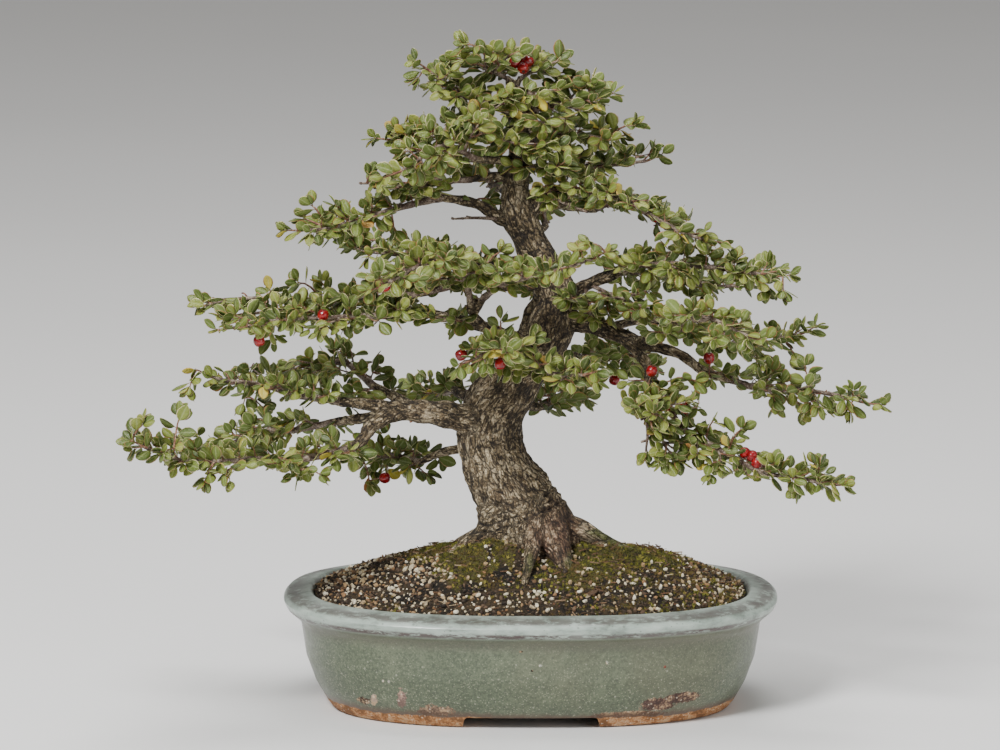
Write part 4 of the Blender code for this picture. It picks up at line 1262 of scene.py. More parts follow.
def patch_group() -> bpy.types.NodeTree:
    """A mask of one ragged patch on the pot's front, round a middle and with its own reach each way."""
    if found := bpy.data.node_groups.get("patch"):
        return found
    tree, sheet, given, put = shared_group(
        "patch",
        [
            ("Where", "NodeSocketVector", 0.0),
            ("Middle", "NodeSocketVector", 0.0),
            ("Reach", "NodeSocketVector", 0.0),
            ("Ragged", "NodeSocketFloat", 0.5),
        ],
        [("Mask", "NodeSocketFloat")],
    )
    off = sheet.add("ShaderNodeVectorMath", {0: given.outputs["Where"], 1: given.outputs["Middle"]}, operation="SUBTRACT")
    share = sheet.add("ShaderNodeVectorMath", {0: off.outputs[0], 1: given.outputs["Reach"]}, operation="DIVIDE")
    length = sheet.add("ShaderNodeVectorMath", {0: share.outputs[0]}, operation="LENGTH").outputs["Value"]
    torn = sheet.maths("SUBTRACT", sheet.noise(given.outputs["Where"], 420.0, 4.0, 0.7), 0.5)
    edge = sheet.maths("MULTIPLY_ADD", torn, given.outputs["Ragged"], length)
    sheet.feed(put.inputs["Mask"], sheet.between(edge, 1.05, 0.85))
    return tree


# Finishes


@dataclass(frozen=True)
class Finish:
    """A procedural material that is made the first time it is asked for."""

    name: str

    def made(self) -> bpy.types.Material:
        """The material.

        Returns:
            The one made before, or a new one.
        """
        if found := bpy.data.materials.get(self.name):
            return found
        material = bpy.data.materials.new(self.name)
        material.use_nodes = True
        material.node_tree.nodes.clear()
        self.lay(NodeSheet(material.node_tree))
        return material

    def lay(self, sheet: NodeSheet) -> None:
        """Lay out the material's nodes."""
        raise NotImplementedError


@dataclass(frozen=True)
class Patch:
    """A mark on the pot: its middle and its reach, left to right, front to back and up."""

    middle: tuple[float, float, float]
    reach: tuple[float, float, float]
    ragged: float
    colour: Colour


# Chips, scars and stains on the pot's front, larger ones first
POT_MARKS = (
    Patch((0.0700, -0.078, 0.0072), (0.0230, 0.02, 0.0026), 1.6, (0.150, 0.082, 0.050)),
    Patch((0.0860, -0.073, 0.0130), (0.0105, 0.02, 0.0044), 1.3, (0.115, 0.062, 0.048)),
    Patch((0.0985, -0.067, 0.0160), (0.0110, 0.02, 0.0036), 1.3, (0.105, 0.058, 0.044)),
    Patch((-0.0378, -0.075, 0.0100), (0.0100, 0.02, 0.0038), 2.4, (0.190, 0.120, 0.080)),
    Patch((-0.0567, -0.074, 0.0165), (0.0026, 0.02, 0.0062), 2.2, (0.330, 0.210, 0.170)),
    Patch((-0.0725, -0.065, 0.0140), (0.0020, 0.02, 0.0034), 2.2, (0.360, 0.270, 0.210)),
    Patch((-0.0785, -0.062, 0.0125), (0.0040, 0.02, 0.0022), 2.2, (0.060, 0.034, 0.022)),
    Patch((-0.0640, -0.074, 0.0267), (0.0009, 0.02, 0.0008), 1.2, (0.600, 0.580, 0.480)),
    Patch((-0.0672, -0.073, 0.0267), (0.0006, 0.02, 0.0008), 1.2, (0.520, 0.500, 0.410)),
    Patch((0.0890, -0.079, 0.0358), (0.0008, 0.02, 0.0009), 0.5, (0.180, 0.045, 0.030)),
    Patch((0.0154, -0.089, 0.0356), (0.0008, 0.02, 0.0007), 0.5, (0.030, 0.020, 0.014)),
    Patch((0.0093, -0.090, 0.0468), (0.0011, 0.02, 0.0006), 0.7, (0.035, 0.022, 0.015)),
    Patch((0.0198, -0.089, 0.0386), (0.0008, 0.02, 0.0007), 2.0, (0.480, 0.480, 0.400)),
    Patch((0.0568, -0.087, 0.0398), (0.0006, 0.02, 0.0010), 2.6, (0.360, 0.370, 0.300)),
)


@dataclass(frozen=True)
class GlazeFinish(Finish):
    """Grey-green glaze that breaks brown at the lip, over feet of bare clay."""

    name: str = "glaze_over_clay"
    dark: Colour = (0.051, 0.066, 0.039)
    middle: Colour = (0.073, 0.092, 0.055)
    light: Colour = (0.124, 0.146, 0.089)
    # Lip glaze: its own paler, bluer glaze, made paler still as a painted highlight
    lip: Colour = (0.310, 0.372, 0.325)
    lip_dark: Colour = (0.165, 0.200, 0.172)
    breaking: Colour = (0.070, 0.046, 0.044)
    clay: Colour = (0.370, 0.162, 0.056)
    clay_pale: Colour = (0.460, 0.310, 0.175)
    scorch: Colour = (0.085, 0.048, 0.030)
    clay_height: float = 0.0058

    def lay(self, sheet: NodeSheet) -> None:
        """Lay out the glaze, the broken lip, the marks and the clay."""
        where = sheet.place()
        _, _, height = sheet.split(where)
        mottle = sheet.group(mottle_group(), Where=where, Scale=26.0, Fine_share=0.6).outputs[0]
        grainy = sheet.noise(where, 700.0, 3.0, 0.75)
        body = sheet.ramp(mottle, (0.0, self.dark), (0.4, self.middle), (0.6, self.middle), (1.0, self.light))
        body = sheet.mix(sheet.between(grainy, 0.44, 0.64, 0.0, 0.75), body, self.light)
        body = sheet.mix(sheet.between(grainy, 0.52, 0.36, 0.0, 0.75), body, self.dark)
        earthy = sheet.noise(self.stretched(sheet, where, (1.0, 1.0, 0.5)), 14.0, 3.0, 0.6)
        body = sheet.mix(sheet.between(earthy, 0.46, 0.66, 0.0, 0.35), body, (0.118, 0.110, 0.066))
        body = self.lip_glaze_and_painted_light(sheet, where, height, body)
        body = self.speckled(sheet, where, height, body)
        bare = self.clay_mask(sheet, where, height)
        for patch in POT_MARKS:
            mask = sheet.group(
                patch_group(), Where=where, Middle=patch.middle, Reach=patch.reach, Ragged=patch.ragged
            ).outputs[0]
            body = sheet.mix(mask, body, self.rough_clay(sheet, where, patch.colour))
            bare = sheet.maths("MAXIMUM", bare, sheet.maths("MULTIPLY", mask, 0.8))
        scorch = sheet.between(self.edge_height(sheet, where, height), self.clay_height + 0.0048, self.clay_height + 0.0006)
        body = sheet.mix(sheet.maths("MULTIPLY", scorch, 0.85), body, self.scorch)
        clay = self.rough_clay(sheet, where, self.clay)
        colour = sheet.mix(self.clay_mask(sheet, where, height), body, clay)
        pits = sheet.noise(where, 900.0, 3.0, 0.6)
        waves = sheet.noise(where, 90.0, 2.0, 0.5)
        normal = sheet.bump(waves, 0.0006, 0.35)
        normal = sheet.bump(pits, 0.0002, sheet.between(bare, 0.0, 1.0, 0.22, 0.9), normal)
        rough = sheet.between(bare, 0.0, 1.0, 0.34, 0.85)
        rough = sheet.maths("ADD", rough, sheet.between(mottle, 0.0, 1.0, -0.04, 0.10))
        coat = sheet.between(bare, 0.0, 1.0, 0.16, 0.0)
        sheet.surface(Base_Color=colour, Roughness=rough, Normal=normal, Coat_Weight=coat, Coat_Roughness=0.12)

    def stretched(self, sheet: NodeSheet, where: Socket, share: tuple[float, float, float]) -> Socket:
        """A place with each of its parts scaled."""
        return sheet.add("ShaderNodeVectorMath", {0: where, 1: share}, operation="MULTIPLY").outputs[0]

    def edge_height(self, sheet: NodeSheet, where: Socket, height: Socket) -> Socket:
        """Height, bent by noise so that the glaze's lower edge wanders."""
        slow = sheet.maths("SUBTRACT", sheet.noise(where, 30.0, 3.0, 0.6), 0.5)
        fast = sheet.maths("SUBTRACT", sheet.noise(where, 240.0, 3.0, 0.6), 0.5)
        bent = sheet.maths("MULTIPLY_ADD", slow, 0.006, height)
        return sheet.maths("MULTIPLY_ADD", fast, 0.0022, bent)

    def clay_mask(self, sheet: NodeSheet, where: Socket, height: Socket) -> Socket:
        """Where the clay is bare."""
        return sheet.between(self.edge_height(sheet, where, height), self.clay_height + 0.0005, self.clay_height - 0.0003)

    def rough_clay(self, sheet: NodeSheet, where: Socket, colour: Colour) -> Socket:
        """Unglazed clay, stained darker and paler."""
        stain = sheet.group(mottle_group(), Where=where, Scale=130.0, Fine_share=0.8).outputs[0]
        dark = tuple(part * 0.45 for part in colour)
        clay = sheet.ramp(stain, (0.18, dark), (0.58, colour), (1.0, self.clay_pale))
        salt = sheet.group(specks_group(), Where=where, Scale=700.0, Share=0.18, Size=0.4).outputs[0]
        return sheet.mix(sheet.maths("MULTIPLY", salt, 0.6), clay, (0.62, 0.52, 0.40))

    def lip_glaze_and_painted_light(self, sheet: NodeSheet, where: Socket, height: Socket, body: Socket) -> Socket:
        """Paler, bluer glaze on the lip, made paler still as a painted highlight, broken brown along its edges and with
        painted shade under it.
        """
        # The lip's own paler glaze, partly a painted highlight along its roll
        rim = sheet.between(height, 0.0530, 0.0565)
        cloudy = sheet.noise(self.stretched(sheet, where, (1.0, 1.0, 2.5)), 55.0, 4.0, 0.65)
        pale = sheet.ramp(cloudy, (0.34, self.lip_dark), (0.50, self.lip), (0.68, (0.42, 0.48, 0.43)))
        colour = sheet.mix(rim, body, pale)
        torn = sheet.noise(self.stretched(sheet, where, (1.0, 1.0, 4.0)), 150.0, 5.0, 0.72)
        wide = sheet.noise(where, 24.0, 2.0, 0.5)
        for low, high, most in ((0.0556, 0.0570, 1.0), (0.0638, 0.0645, 0.7)):
            band = sheet.maths("MULTIPLY", sheet.between(height, low - 0.0014, low), sheet.between(height, high + 0.0016, high))
            worn = sheet.maths("MULTIPLY", band, sheet.between(torn, 0.38, 0.52))
            worn = sheet.maths("MULTIPLY", worn, sheet.between(wide, 0.30, 0.55, 0.6, most))
            colour = sheet.mix(worn, colour, self.breaking)
        # Painted shade under the lip's overhang: a darker band, broken up by noise
        under = sheet.maths("MULTIPLY", sheet.between(height, 0.0440, 0.0500), sheet.between(height, 0.0550, 0.0522))
        return sheet.mix(sheet.maths("MULTIPLY", under, sheet.between(torn, 0.3, 0.6, 0.25, 0.7)), colour, (0.115, 0.112, 0.080))

    def speckled(self, sheet: NodeSheet, where: Socket, height: Socket, body: Socket) -> Socket:
        """Pale mineral specks, thickest low on the body, and a few dark ones."""
        low = sheet.between(height, 0.060, 0.012, 0.25, 1.0)
        fine = sheet.group(specks_group(), Where=where, Scale=1150.0, Share=0.34, Size=0.42).outputs[0]
        coarse = sheet.group(specks_group(), Where=where, Scale=620.0, Share=0.06, Size=0.30).outputs[0]
        dark = sheet.group(specks_group(), Where=where, Scale=640.0, Share=0.11, Size=0.38).outputs[0]
        spots = sheet.group(specks_group(), Where=where, Scale=62.0, Share=0.10, Size=0.055).outputs[0]
        colour = sheet.mix(sheet.maths("MULTIPLY", sheet.maths("MULTIPLY", fine, 0.40), low), body, (0.36, 0.37, 0.26))
        colour = sheet.mix(sheet.maths("MULTIPLY", sheet.maths("MULTIPLY", coarse, 0.50), low), colour, (0.44, 0.44, 0.34))
        colour = sheet.mix(sheet.maths("MULTIPLY", dark, 0.40), colour, (0.050, 0.060, 0.045))
        return sheet.mix(spots, colour, (0.030, 0.022, 0.016))


@dataclass(frozen=True)
class NettingFinish(Finish):
    """Black plastic netting, scuffed and dusty."""

    name: str = "netting_plastic"

    def lay(self, sheet: NodeSheet) -> None:
        """Lay out the plastic."""
        where = sheet.place()
        dust = sheet.group(mottle_group(), Where=where, Scale=180.0, Fine_share=0.8).outputs[0]
        colour = sheet.ramp(dust, (0.3, (0.012, 0.012, 0.013)), (0.7, (0.024, 0.023, 0.022)), (1.0, (0.09, 0.075, 0.055)))
        rough = sheet.between(dust, 0.0, 1.0, 0.38, 0.75)
        sheet.surface(Base_Color=colour, Roughness=rough, Normal=sheet.bump(sheet.noise(where, 1500.0), 0.0001, 0.5))


@dataclass(frozen=True)
class SoilFinish(Finish):
    """Dark, damp, crumbly soil."""

    name: str = "damp_soil"

    def lay(self, sheet: NodeSheet) -> None:
        """Lay out the soil."""
        where = sheet.place()
        crumbs = sheet.cells(where, 620.0)
        patchy = sheet.group(mottle_group(), Where=where, Scale=90.0, Fine_share=0.9).outputs[0]
        colour = sheet.ramp(patchy, (0.1, (0.006, 0.004, 0.002)), (0.5, (0.019, 0.012, 0.005)), (1.0, (0.060, 0.038, 0.015)))
        pale = sheet.group(specks_group(), Where=where, Scale=850.0, Share=0.12, Size=0.45).outputs[0]
        colour = sheet.mix(sheet.maths("MULTIPLY", pale, 0.7), colour, (0.34, 0.27, 0.18))
        rust = sheet.group(specks_group(), Where=where, Scale=760.0, Share=0.07, Size=0.5).outputs[0]
        colour = sheet.mix(rust, colour, (0.15, 0.065, 0.030))
        fine = sheet.noise(where, 1400.0, 4.0, 0.7)
        growth = sheet.maths("MULTIPLY_ADD", sheet.maths("SUBTRACT", fine, 0.5), 1.2, sheet.value_of("moss"))
        green = sheet.ramp(fine, (0.35, (0.020, 0.022, 0.004)), (0.5, (0.066, 0.064, 0.009)), (0.68, (0.180, 0.165, 0.024)))
        green = sheet.mix(sheet.between(patchy, 0.4, 0.9, 0.0, 0.7), green, (0.060, 0.038, 0.016))
        colour = sheet.mix(sheet.between(growth, 0.25, 0.6, 0.0, 0.9), colour, green)
        normal = sheet.bump(crumbs, 0.0012, 1.0, sheet.bump(fine, 0.0008, 0.9))
        sheet.surface(Base_Color=colour, Roughness=0.93, Normal=normal)


@dataclass(frozen=True)
class GritFinish(Finish):
    """Grains from lava black through tan and orange to cream, by each grain's own tint."""

    name: str = "mixed_grit"

    def lay(self, sheet: NodeSheet) -> None:
        """Lay out the grit."""
        where = sheet.place()
        tint = sheet.value_of("tint")
        colour = sheet.ramp(
            tint,
            (0.00, (0.010, 0.007, 0.005)),
            (0.24, (0.034, 0.022, 0.014)),
            (0.36, (0.130, 0.080, 0.046)),
            (0.46, (0.340, 0.180, 0.075)),
            (0.58, (0.420, 0.300, 0.155)),
            (0.74, (0.620, 0.525, 0.345)),
            (1.00, (0.860, 0.790, 0.620)),
        )
        stain = sheet.group(mottle_group(), Where=where, Scale=420.0, Fine_share=0.8).outputs[0]
        colour = sheet.mix(sheet.between(stain, 0.55, 0.1, 0.0, 0.55), colour, (0.12, 0.075, 0.045))
        normal = sheet.bump(sheet.noise(where, 1800.0, 4.0, 0.7), 0.0004, 0.8)
        sheet.surface(Base_Color=colour, Roughness=sheet.between(stain, 0.0, 1.0, 0.7, 0.95), Normal=normal)


@dataclass(frozen=True)
class MossFinish(Finish):
    """Moss from olive through yellow-green to a few browned tufts."""

    name: str = "short_moss"

    def lay(self, sheet: NodeSheet) -> None:
        """Lay out the moss."""
        where = sheet.place()
        tint = sheet.value_of("tint")
        colour = sheet.ramp(
            tint, (0.0, (0.022, 0.026, 0.004)), (0.40, (0.080, 0.082, 0.009)), (0.80, (0.205, 0.200, 0.020)), (1.0, (0.42, 0.36, 0.08))
        )
        patchy = sheet.noise(where, 55.0, 3.0, 0.6)
        colour = sheet.mix(sheet.between(patchy, 0.44, 0.58, 0.0, 0.88), colour, (0.128, 0.078, 0.026))
        fine = sheet.noise(where, 1500.0, 3.0, 0.6)
        colour = sheet.mix(sheet.between(fine, 0.45, 0.7, 0.0, 0.4), colour, (0.25, 0.23, 0.06))
        sheet.surface(Base_Color=colour, Roughness=0.88, Normal=sheet.bump(fine, 0.0004, 0.7))


@dataclass(frozen=True)
class LitterFinish(Finish):
    """Straw, dead twigs and dead leaves, by each piece's own tint."""

    name: str = "dry_litter"

    def lay(self, sheet: NodeSheet) -> None:
        """Lay out the litter."""
        where = sheet.place()
        colour = sheet.ramp(
            sheet.value_of("tint"),
            (0.0, (0.046, 0.027, 0.015)),
            (0.45, (0.120, 0.066, 0.034)),
            (0.70, (0.210, 0.105, 0.050)),
            (1.0, (0.470, 0.370, 0.230)),
        )
        streaks = sheet.group(mottle_group(), Where=where, Scale=260.0, Fine_share=0.9).outputs[0]
        colour = sheet.mix(sheet.between(streaks, 0.5, 0.1, 0.0, 0.6), colour, (0.06, 0.032, 0.020))
        sheet.surface(Base_Color=colour, Roughness=0.8, Normal=sheet.bump(streaks, 0.0003, 0.8))


@dataclass(frozen=True)
class BarkFinish(Finish):
    """Flaky grey-brown bark: painted shade in its cracks and plate seams, pale flakes that are partly painted
    highlight, a red flush and green lichen where the mesh says so.
    """

    name: str = "flaky_bark"
    # Near black: painted shade for the cracks and the seams between plates
    painted_crevice_shade: Colour = (0.012, 0.008, 0.006)
    dark: Colour = (0.022, 0.015, 0.008)
    middle: Colour = (0.088, 0.060, 0.030)
    light: Colour = (0.260, 0.192, 0.104)
    # Palest flakes: partly the bark's own weathered tone, partly a painted highlight
    pale: Colour = (0.620, 0.508, 0.335)
    red: Colour = (0.150, 0.072, 0.040)
    lichen: Colour = (0.165, 0.180, 0.070)
    moss: Colour = (0.085, 0.100, 0.018)

    def lay(self, sheet: NodeSheet) -> None:
        """Lay out the bark."""
        grain = sheet.vector_of("grain")
        where = sheet.place()
        painted_crack_shade = sheet.value_of("painted_crack_shade")
        warped = self.warped(sheet, grain)
        plates = sheet.cells(warped, 290.0, "Distance", "DISTANCE_TO_EDGE")
        flakes = sheet.cells(warped, 980.0, "Distance", "DISTANCE_TO_EDGE")
        luck, _, _ = sheet.split(sheet.cells(warped, 290.0, "Color"))
        fine_luck, _, _ = sheet.split(sheet.cells(warped, 980.0, "Color"))
        fibres = sheet.noise(grain, 900.0, 4.0, 0.65)
        mottle = sheet.group(mottle_group(), Where=where, Scale=140.0, Fine_share=0.9).outputs[0]
        tone = sheet.maths("ADD", sheet.maths("MULTIPLY", mottle, 0.30), sheet.maths("MULTIPLY", luck, 0.16))
        tone = sheet.maths("ADD", tone, sheet.maths("MULTIPLY", fine_luck, 0.34))
        tone = sheet.maths("ADD", tone, sheet.maths("MULTIPLY", fibres, 0.30))
        drift = sheet.noise(where, 42.0, 2.0, 0.5)
        tone = sheet.maths("ADD", tone, sheet.between(drift, 0.36, 0.64, -0.10, 0.07))
        # The top stop scatters pale flakes at random, partly as a painted highlight
        colour = sheet.ramp(tone, (0.27, self.dark), (0.43, self.middle), (0.59, self.light), (0.75, self.pale))
        red = sheet.maths("MULTIPLY", sheet.value_of("red"), sheet.between(mottle, 0.1, 0.9, 0.85, 0.45))
        colour = sheet.mix(red, colour, sheet.ramp(tone, (0.25, (0.034, 0.016, 0.010)), (0.5, self.red), (0.8, (0.38, 0.22, 0.15))))
        green = sheet.between(sheet.maths("ADD", sheet.value_of("moss"), sheet.maths("MULTIPLY", fibres, 0.35)), 0.35, 0.70)
        growth = sheet.mix(sheet.between(mottle, 0.3, 0.7), self.moss, self.lichen)
        colour = sheet.mix(sheet.maths("MULTIPLY", green, 0.85), colour, growth)
        # Painted shade: the plate seams and the deepest cracks, the recesses of the bump, are darkened towards near
        # black
        painted_seam_shade = sheet.maths("MAXIMUM", sheet.between(plates, 0.10, 0.01, 0.0, 0.85), sheet.between(flakes, 0.09, 0.0, 0.0, 0.5))
        deep = sheet.maths("MAXIMUM", painted_seam_shade, sheet.between(painted_crack_shade, 0.60, 1.0, 0.0, 0.9))
        colour = sheet.mix(deep, colour, self.painted_crevice_shade)
        height = sheet.maths("ADD", sheet.between(plates, 0.0, 0.22), sheet.maths("MULTIPLY", sheet.between(flakes, 0.0, 0.2), 0.45))
        height = sheet.maths("ADD", height, sheet.maths("MULTIPLY", luck, 0.6))
        normal = sheet.bump(fibres, 0.0007, 0.9)
        normal = sheet.bump(height, 0.0011, 1.0, normal)
        sheet.surface(Base_Color=colour, Roughness=0.82, Normal=normal)

    def warped(self, sheet: NodeSheet, grain: Socket) -> Socket:
        """The bark's own coordinates, bent so that its plates are ragged."""
        bend = sheet.add("ShaderNodeTexNoise", {"Vector": grain, "Scale": 260.0, "Detail": 2.0}).outputs["Color"]
        centred = sheet.add("ShaderNodeVectorMath", {0: bend, 1: (0.5, 0.5, 0.5)}, operation="SUBTRACT").outputs[0]
        scaled = sheet.add("ShaderNodeVectorMath", {0: centred, "Scale": 0.004}, operation="SCALE").outputs[0]
        return sheet.add("ShaderNodeVectorMath", {0: grain, 1: scaled}, operation="ADD").outputs[0]


@dataclass(frozen=True)
class LeafFinish(Finish):
    """One side of a leaf: its own green, a pale rib and margin, and autumn colours on the oldest."""

    side: Side = Side.UPPER

    def lay(self, sheet: NodeSheet) -> None:
        """Lay out the leaf."""
        where = sheet.place()
        across, along, _ = sheet.split(sheet.add("ShaderNodeUVMap").outputs[0])
        out = sheet.maths("ABSOLUTE", sheet.maths("MULTIPLY_ADD", across, 2.0, -1.0))
        tint, age = sheet.value_of("tint"), sheet.value_of("age")
        mottle = sheet.group(mottle_group(), Where=where, Scale=230.0, Fine_share=0.7).outputs[0]
        shade = sheet.maths("ADD", sheet.maths("MULTIPLY", tint, 0.75), sheet.maths("MULTIPLY", mottle, 0.25))
        if self.side is Side.UPPER:
            green = sheet.ramp(
                shade,
                (0.05, (0.048, 0.074, 0.014)),
                (0.40, (0.108, 0.146, 0.022)),
                (0.75, (0.190, 0.226, 0.036)),
                (1.0, (0.330, 0.340, 0.075)),
            )
        else:
            green = sheet.ramp(shade, (0.0, (0.075, 0.115, 0.018)), (1.0, (0.175, 0.225, 0.048)))
        autumn = sheet.ramp(tint, (0.2, (0.46, 0.38, 0.040)), (0.7, (0.58, 0.45, 0.09)), (1.0, (0.40, 0.12, 0.030)))
        colour = sheet.mix(sheet.between(age, 0.62, 0.85), green, autumn)
        rib = sheet.between(out, 0.16, 0.02)
        ribs = sheet.maths("SINE", sheet.maths("MULTIPLY_ADD", out, -7.0, sheet.maths("MULTIPLY", along, 42.0)))
        veins = sheet.maths("MULTIPLY", sheet.between(ribs, 0.70, 1.0), sheet.between(out, 0.95, 0.4))
        colour = sheet.mix(sheet.maths("MULTIPLY", veins, 0.10), colour, (0.30, 0.36, 0.17))
        colour = sheet.mix(sheet.maths("MULTIPLY", rib, 0.30), colour, (0.38, 0.42, 0.20))
        edge = sheet.maths("MAXIMUM", sheet.between(out, 0.80, 0.90), sheet.between(along, 0.93, 0.98))
        flush = sheet.mix(sheet.between(age, 0.12, 0.30), (0.70, 0.62, 0.34), (0.46, 0.19, 0.08))
        colour = sheet.mix(sheet.maths("MULTIPLY", edge, 0.92), colour, flush)
        stalk = sheet.between(along, 0.19, 0.13)
        colour = sheet.mix(stalk, colour, (0.33, 0.20, 0.085))
        bend = sheet.maths("SUBTRACT", sheet.maths("MULTIPLY", mottle, 0.5), sheet.maths("MULTIPLY", sheet.maths("MAXIMUM", rib, veins), 0.8))
        rough = sheet.between(mottle, 0.0, 1.0, 0.28, 0.42) if self.side is Side.UPPER else 0.7
        normal = sheet.bump(bend, 0.00025, 0.7)
        sheet.surface(Base_Color=colour, Roughness=rough, Normal=normal, Specular_IOR_Level=0.38)


@dataclass(frozen=True)
class TwigFinish(Finish):
    """The skin of a twig: grey-brown and flaky when old, red-brown and finer when young."""

    age: Age = Age.OLD

    def lay(self, sheet: NodeSheet) -> None:
        """Lay out the twig's skin."""
        where = sheet.place()
        mottle = sheet.group(mottle_group(), Where=where, Scale=330.0, Fine_share=0.9).outputs[0]
        if self.age is Age.OLD:
            colour = sheet.ramp(mottle, (0.1, (0.045, 0.026, 0.018)), (0.5, (0.135, 0.085, 0.058)), (1.0, (0.36, 0.29, 0.23)))
        else:
            colour = sheet.ramp(mottle, (0.1, (0.090, 0.030, 0.018)), (0.5, (0.200, 0.080, 0.042)), (1.0, (0.36, 0.20, 0.12)))
        pores = sheet.group(specks_group(), Where=where, Scale=900.0, Share=0.25, Size=0.4).outputs[0]
        colour = sheet.mix(sheet.maths("MULTIPLY", pores, 0.5), colour, (0.50, 0.42, 0.34))
        sheet.surface(Base_Color=colour, Roughness=0.6, Normal=sheet.bump(mottle, 0.0003, 0.8))


@dataclass(frozen=True)
class BerryFinish(Finish):
    """A ripe berry with its dark, dry crown at the far end."""

    name: str = "ripe_berry"

    def lay(self, sheet: NodeSheet) -> None:
        """Lay out the berry's skin."""
        where = sheet.place()
        _, along, _ = sheet.split(sheet.add("ShaderNodeUVMap").outputs[0])
        mottle = sheet.group(mottle_group(), Where=where, Scale=260.0, Fine_share=0.6).outputs[0]
        colour = sheet.ramp(mottle, (0.0, (0.130, 0.001, 0.004)), (0.6, (0.260, 0.003, 0.007)), (1.0, (0.40, 0.016, 0.012)))
        crown = sheet.between(sheet.maths("ADD", along, sheet.maths("MULTIPLY", mottle, 0.03)), 0.90, 0.945)
        colour = sheet.mix(crown, colour, (0.045, 0.018, 0.012))
        rough = sheet.between(crown, 0.0, 1.0, 0.20, 0.8)
        sheet.surface(Base_Color=colour, Roughness=rough, Coat_Weight=0.3, Normal=sheet.bump(mottle, 0.0002, 0.35))


@dataclass(frozen=True)
class FloorFinish(Finish):
    """A pale studio floor with the faintest unevenness."""

    name: str = "pale_floor"

    def lay(self, sheet: NodeSheet) -> None:
        """Lay out the floor."""
        cloud = sheet.noise(sheet.place(), 1.5, 3.0)
        colour = sheet.mix(cloud, (0.78, 0.775, 0.765), (0.82, 0.815, 0.805))
        sheet.surface(Base_Color=colour, Roughness=0.75)


# Pot


def oval(inset: float, turn: float) -> Vector:
    """A point on the pot's oval.

    Args:
        inset: How far inside the lip's widest line.
        turn: The direction from the middle, in radians.

    Returns:
        The point, at height zero.
    """
    across, over = math.cos(turn), math.sin(turn)
    share = 2.0 / OVAL_POWER
    return Vector((
        POT_X + (POT_HALF_WIDTH - inset) * math.copysign(abs(across) ** share, across),
        (POT_HALF_DEPTH - inset) * math.copysign(abs(over) ** share, over),
        0.0,
    ))


def softened(profile: Sequence[tuple[float, float]], reach: float, longest: float) -> list[Vector]:
    """A profile with each corner rounded and each long stretch divided.

    Args:
        profile: The corners.
        reach: How far from a corner its rounding starts.
        longest: The longest stretch left undivided.

    Returns:
        The finer profile, as points in the XY plane.
    """
    corners = [Vector((inset, height, 0.0)) for inset, height in profile]
    found = [corners[0]]
    for before, corner, after in zip(corners, corners[1:], corners[2:]):
        near = corner + (before - corner) * min(0.4, reach / (before - corner).length)
        far = corner + (after - corner) * min(0.4, reach / (after - corner).length)
        found += [near, near.lerp(far, 0.5).lerp(corner, 0.5), far]
    found.append(corners[-1])
    finer = [found[0]]
    for a, b in zip(found, found[1:]):
        parts = max(1, math.ceil((b - a).length / longest))
        finer += [a.lerp(b, (k + 1) / parts) for k in range(parts)]
    return finer


@dataclass
class Pot:
    """The oval pot, thrown as one skin, with its gap between the feet and its two drain holes cut."""

    sides: int = 192
    softness: float = 0.0011
    longest: float = 0.004
    wobble: float = 0.0004
    wobble_scale: float = 22.0

    def build(self) -> bpy.types.Object:
        """Model the pot and dress it in its glaze.

        Returns:
            The pot.
        """
        profile = softened(POT_PROFILE, self.softness, self.longest)
        rings = [[self.point(step, k) for k in range(self.sides)] for step in profile]
        pot = lofted("pot_body", rings)
        self.cut(pot, self.gap_cutter())
        for side in (-1, 1):
            self.cut(pot, self.hole_cutter(side))
        smooth_by_angle(pot, 32)
        dress(pot, GlazeFinish().made())
        return settle(pot, Slot.GLAZE, "pot")

    def point(self, step: Vector, number: int) -> Vector:
        """A point of the pot's skin, a little off the true oval as on a hand-made pot."""
        place = oval(step.x, -math.tau * number / self.sides)
        outward = Vector((place.x - POT_X, place.y, 0.0)).normalized()
        off = self.wobble * noise.noise(Vector((place.x, place.y, step.y * 1.6)) * self.wobble_scale)
        lift = 0.0 if step.y < FOOT_SOLE_Z else off * 0.5
        return place + outward * off + UP * (step.y + lift)

    def gap_cutter(self) -> bpy.types.Object:
        """The wedge that opens the gap between the two feet."""
        deselect_all()
        bpy.ops.mesh.primitive_cube_add(size=1.0, location=(POT_X, 0.0, 0.0))
        cutter = bpy.context.object
        for vertex in cutter.data.vertices:
            high = vertex.co.z > 0.0
            half = FEET_GAP_HIGH if high else FEET_GAP_LOW
            vertex.co = Vector((
                math.copysign(half, vertex.co.x),
                math.copysign(POT_HALF_DEPTH, vertex.co.y),
                FEET_GAP_Z if high else -FEET_GAP_Z,
            ))
        apply_modifier(cutter, "BEVEL", width=0.0016, segments=3, limit_method="ANGLE")
        return cutter

    def hole_cutter(self, side: int) -> bpy.types.Object:
        """The cylinder that opens one drain hole."""
        deselect_all()
        bpy.ops.mesh.primitive_cylinder_add(
            vertices=40,
            radius=DRAIN_RADIUS,
            depth=0.02,
            location=(POT_X + side * DRAIN_SPREAD, 0.0, UNDERSIDE_Z),
        )
        return bpy.context.object

    def cut(self, pot: bpy.types.Object, cutter: bpy.types.Object) -> None:
        """Take one body out of the pot and remove the cutter."""
        apply_modifier(pot, "BOOLEAN", operation="DIFFERENCE", object=cutter, solver="EXACT")
        bpy.data.objects.remove(cutter, do_unlink=True)


def dress_meshes() -> None:
    """Give the frame's own drainage meshes their plastic."""
    finish = NettingFinish().made()
    for name in ("drainage_mesh_left", "drainage_mesh_right"):
        dress(bpy.data.objects[name], finish)
        LOG.info("%s: dressed", name)


# Soil, grit, moss and what has fallen on them


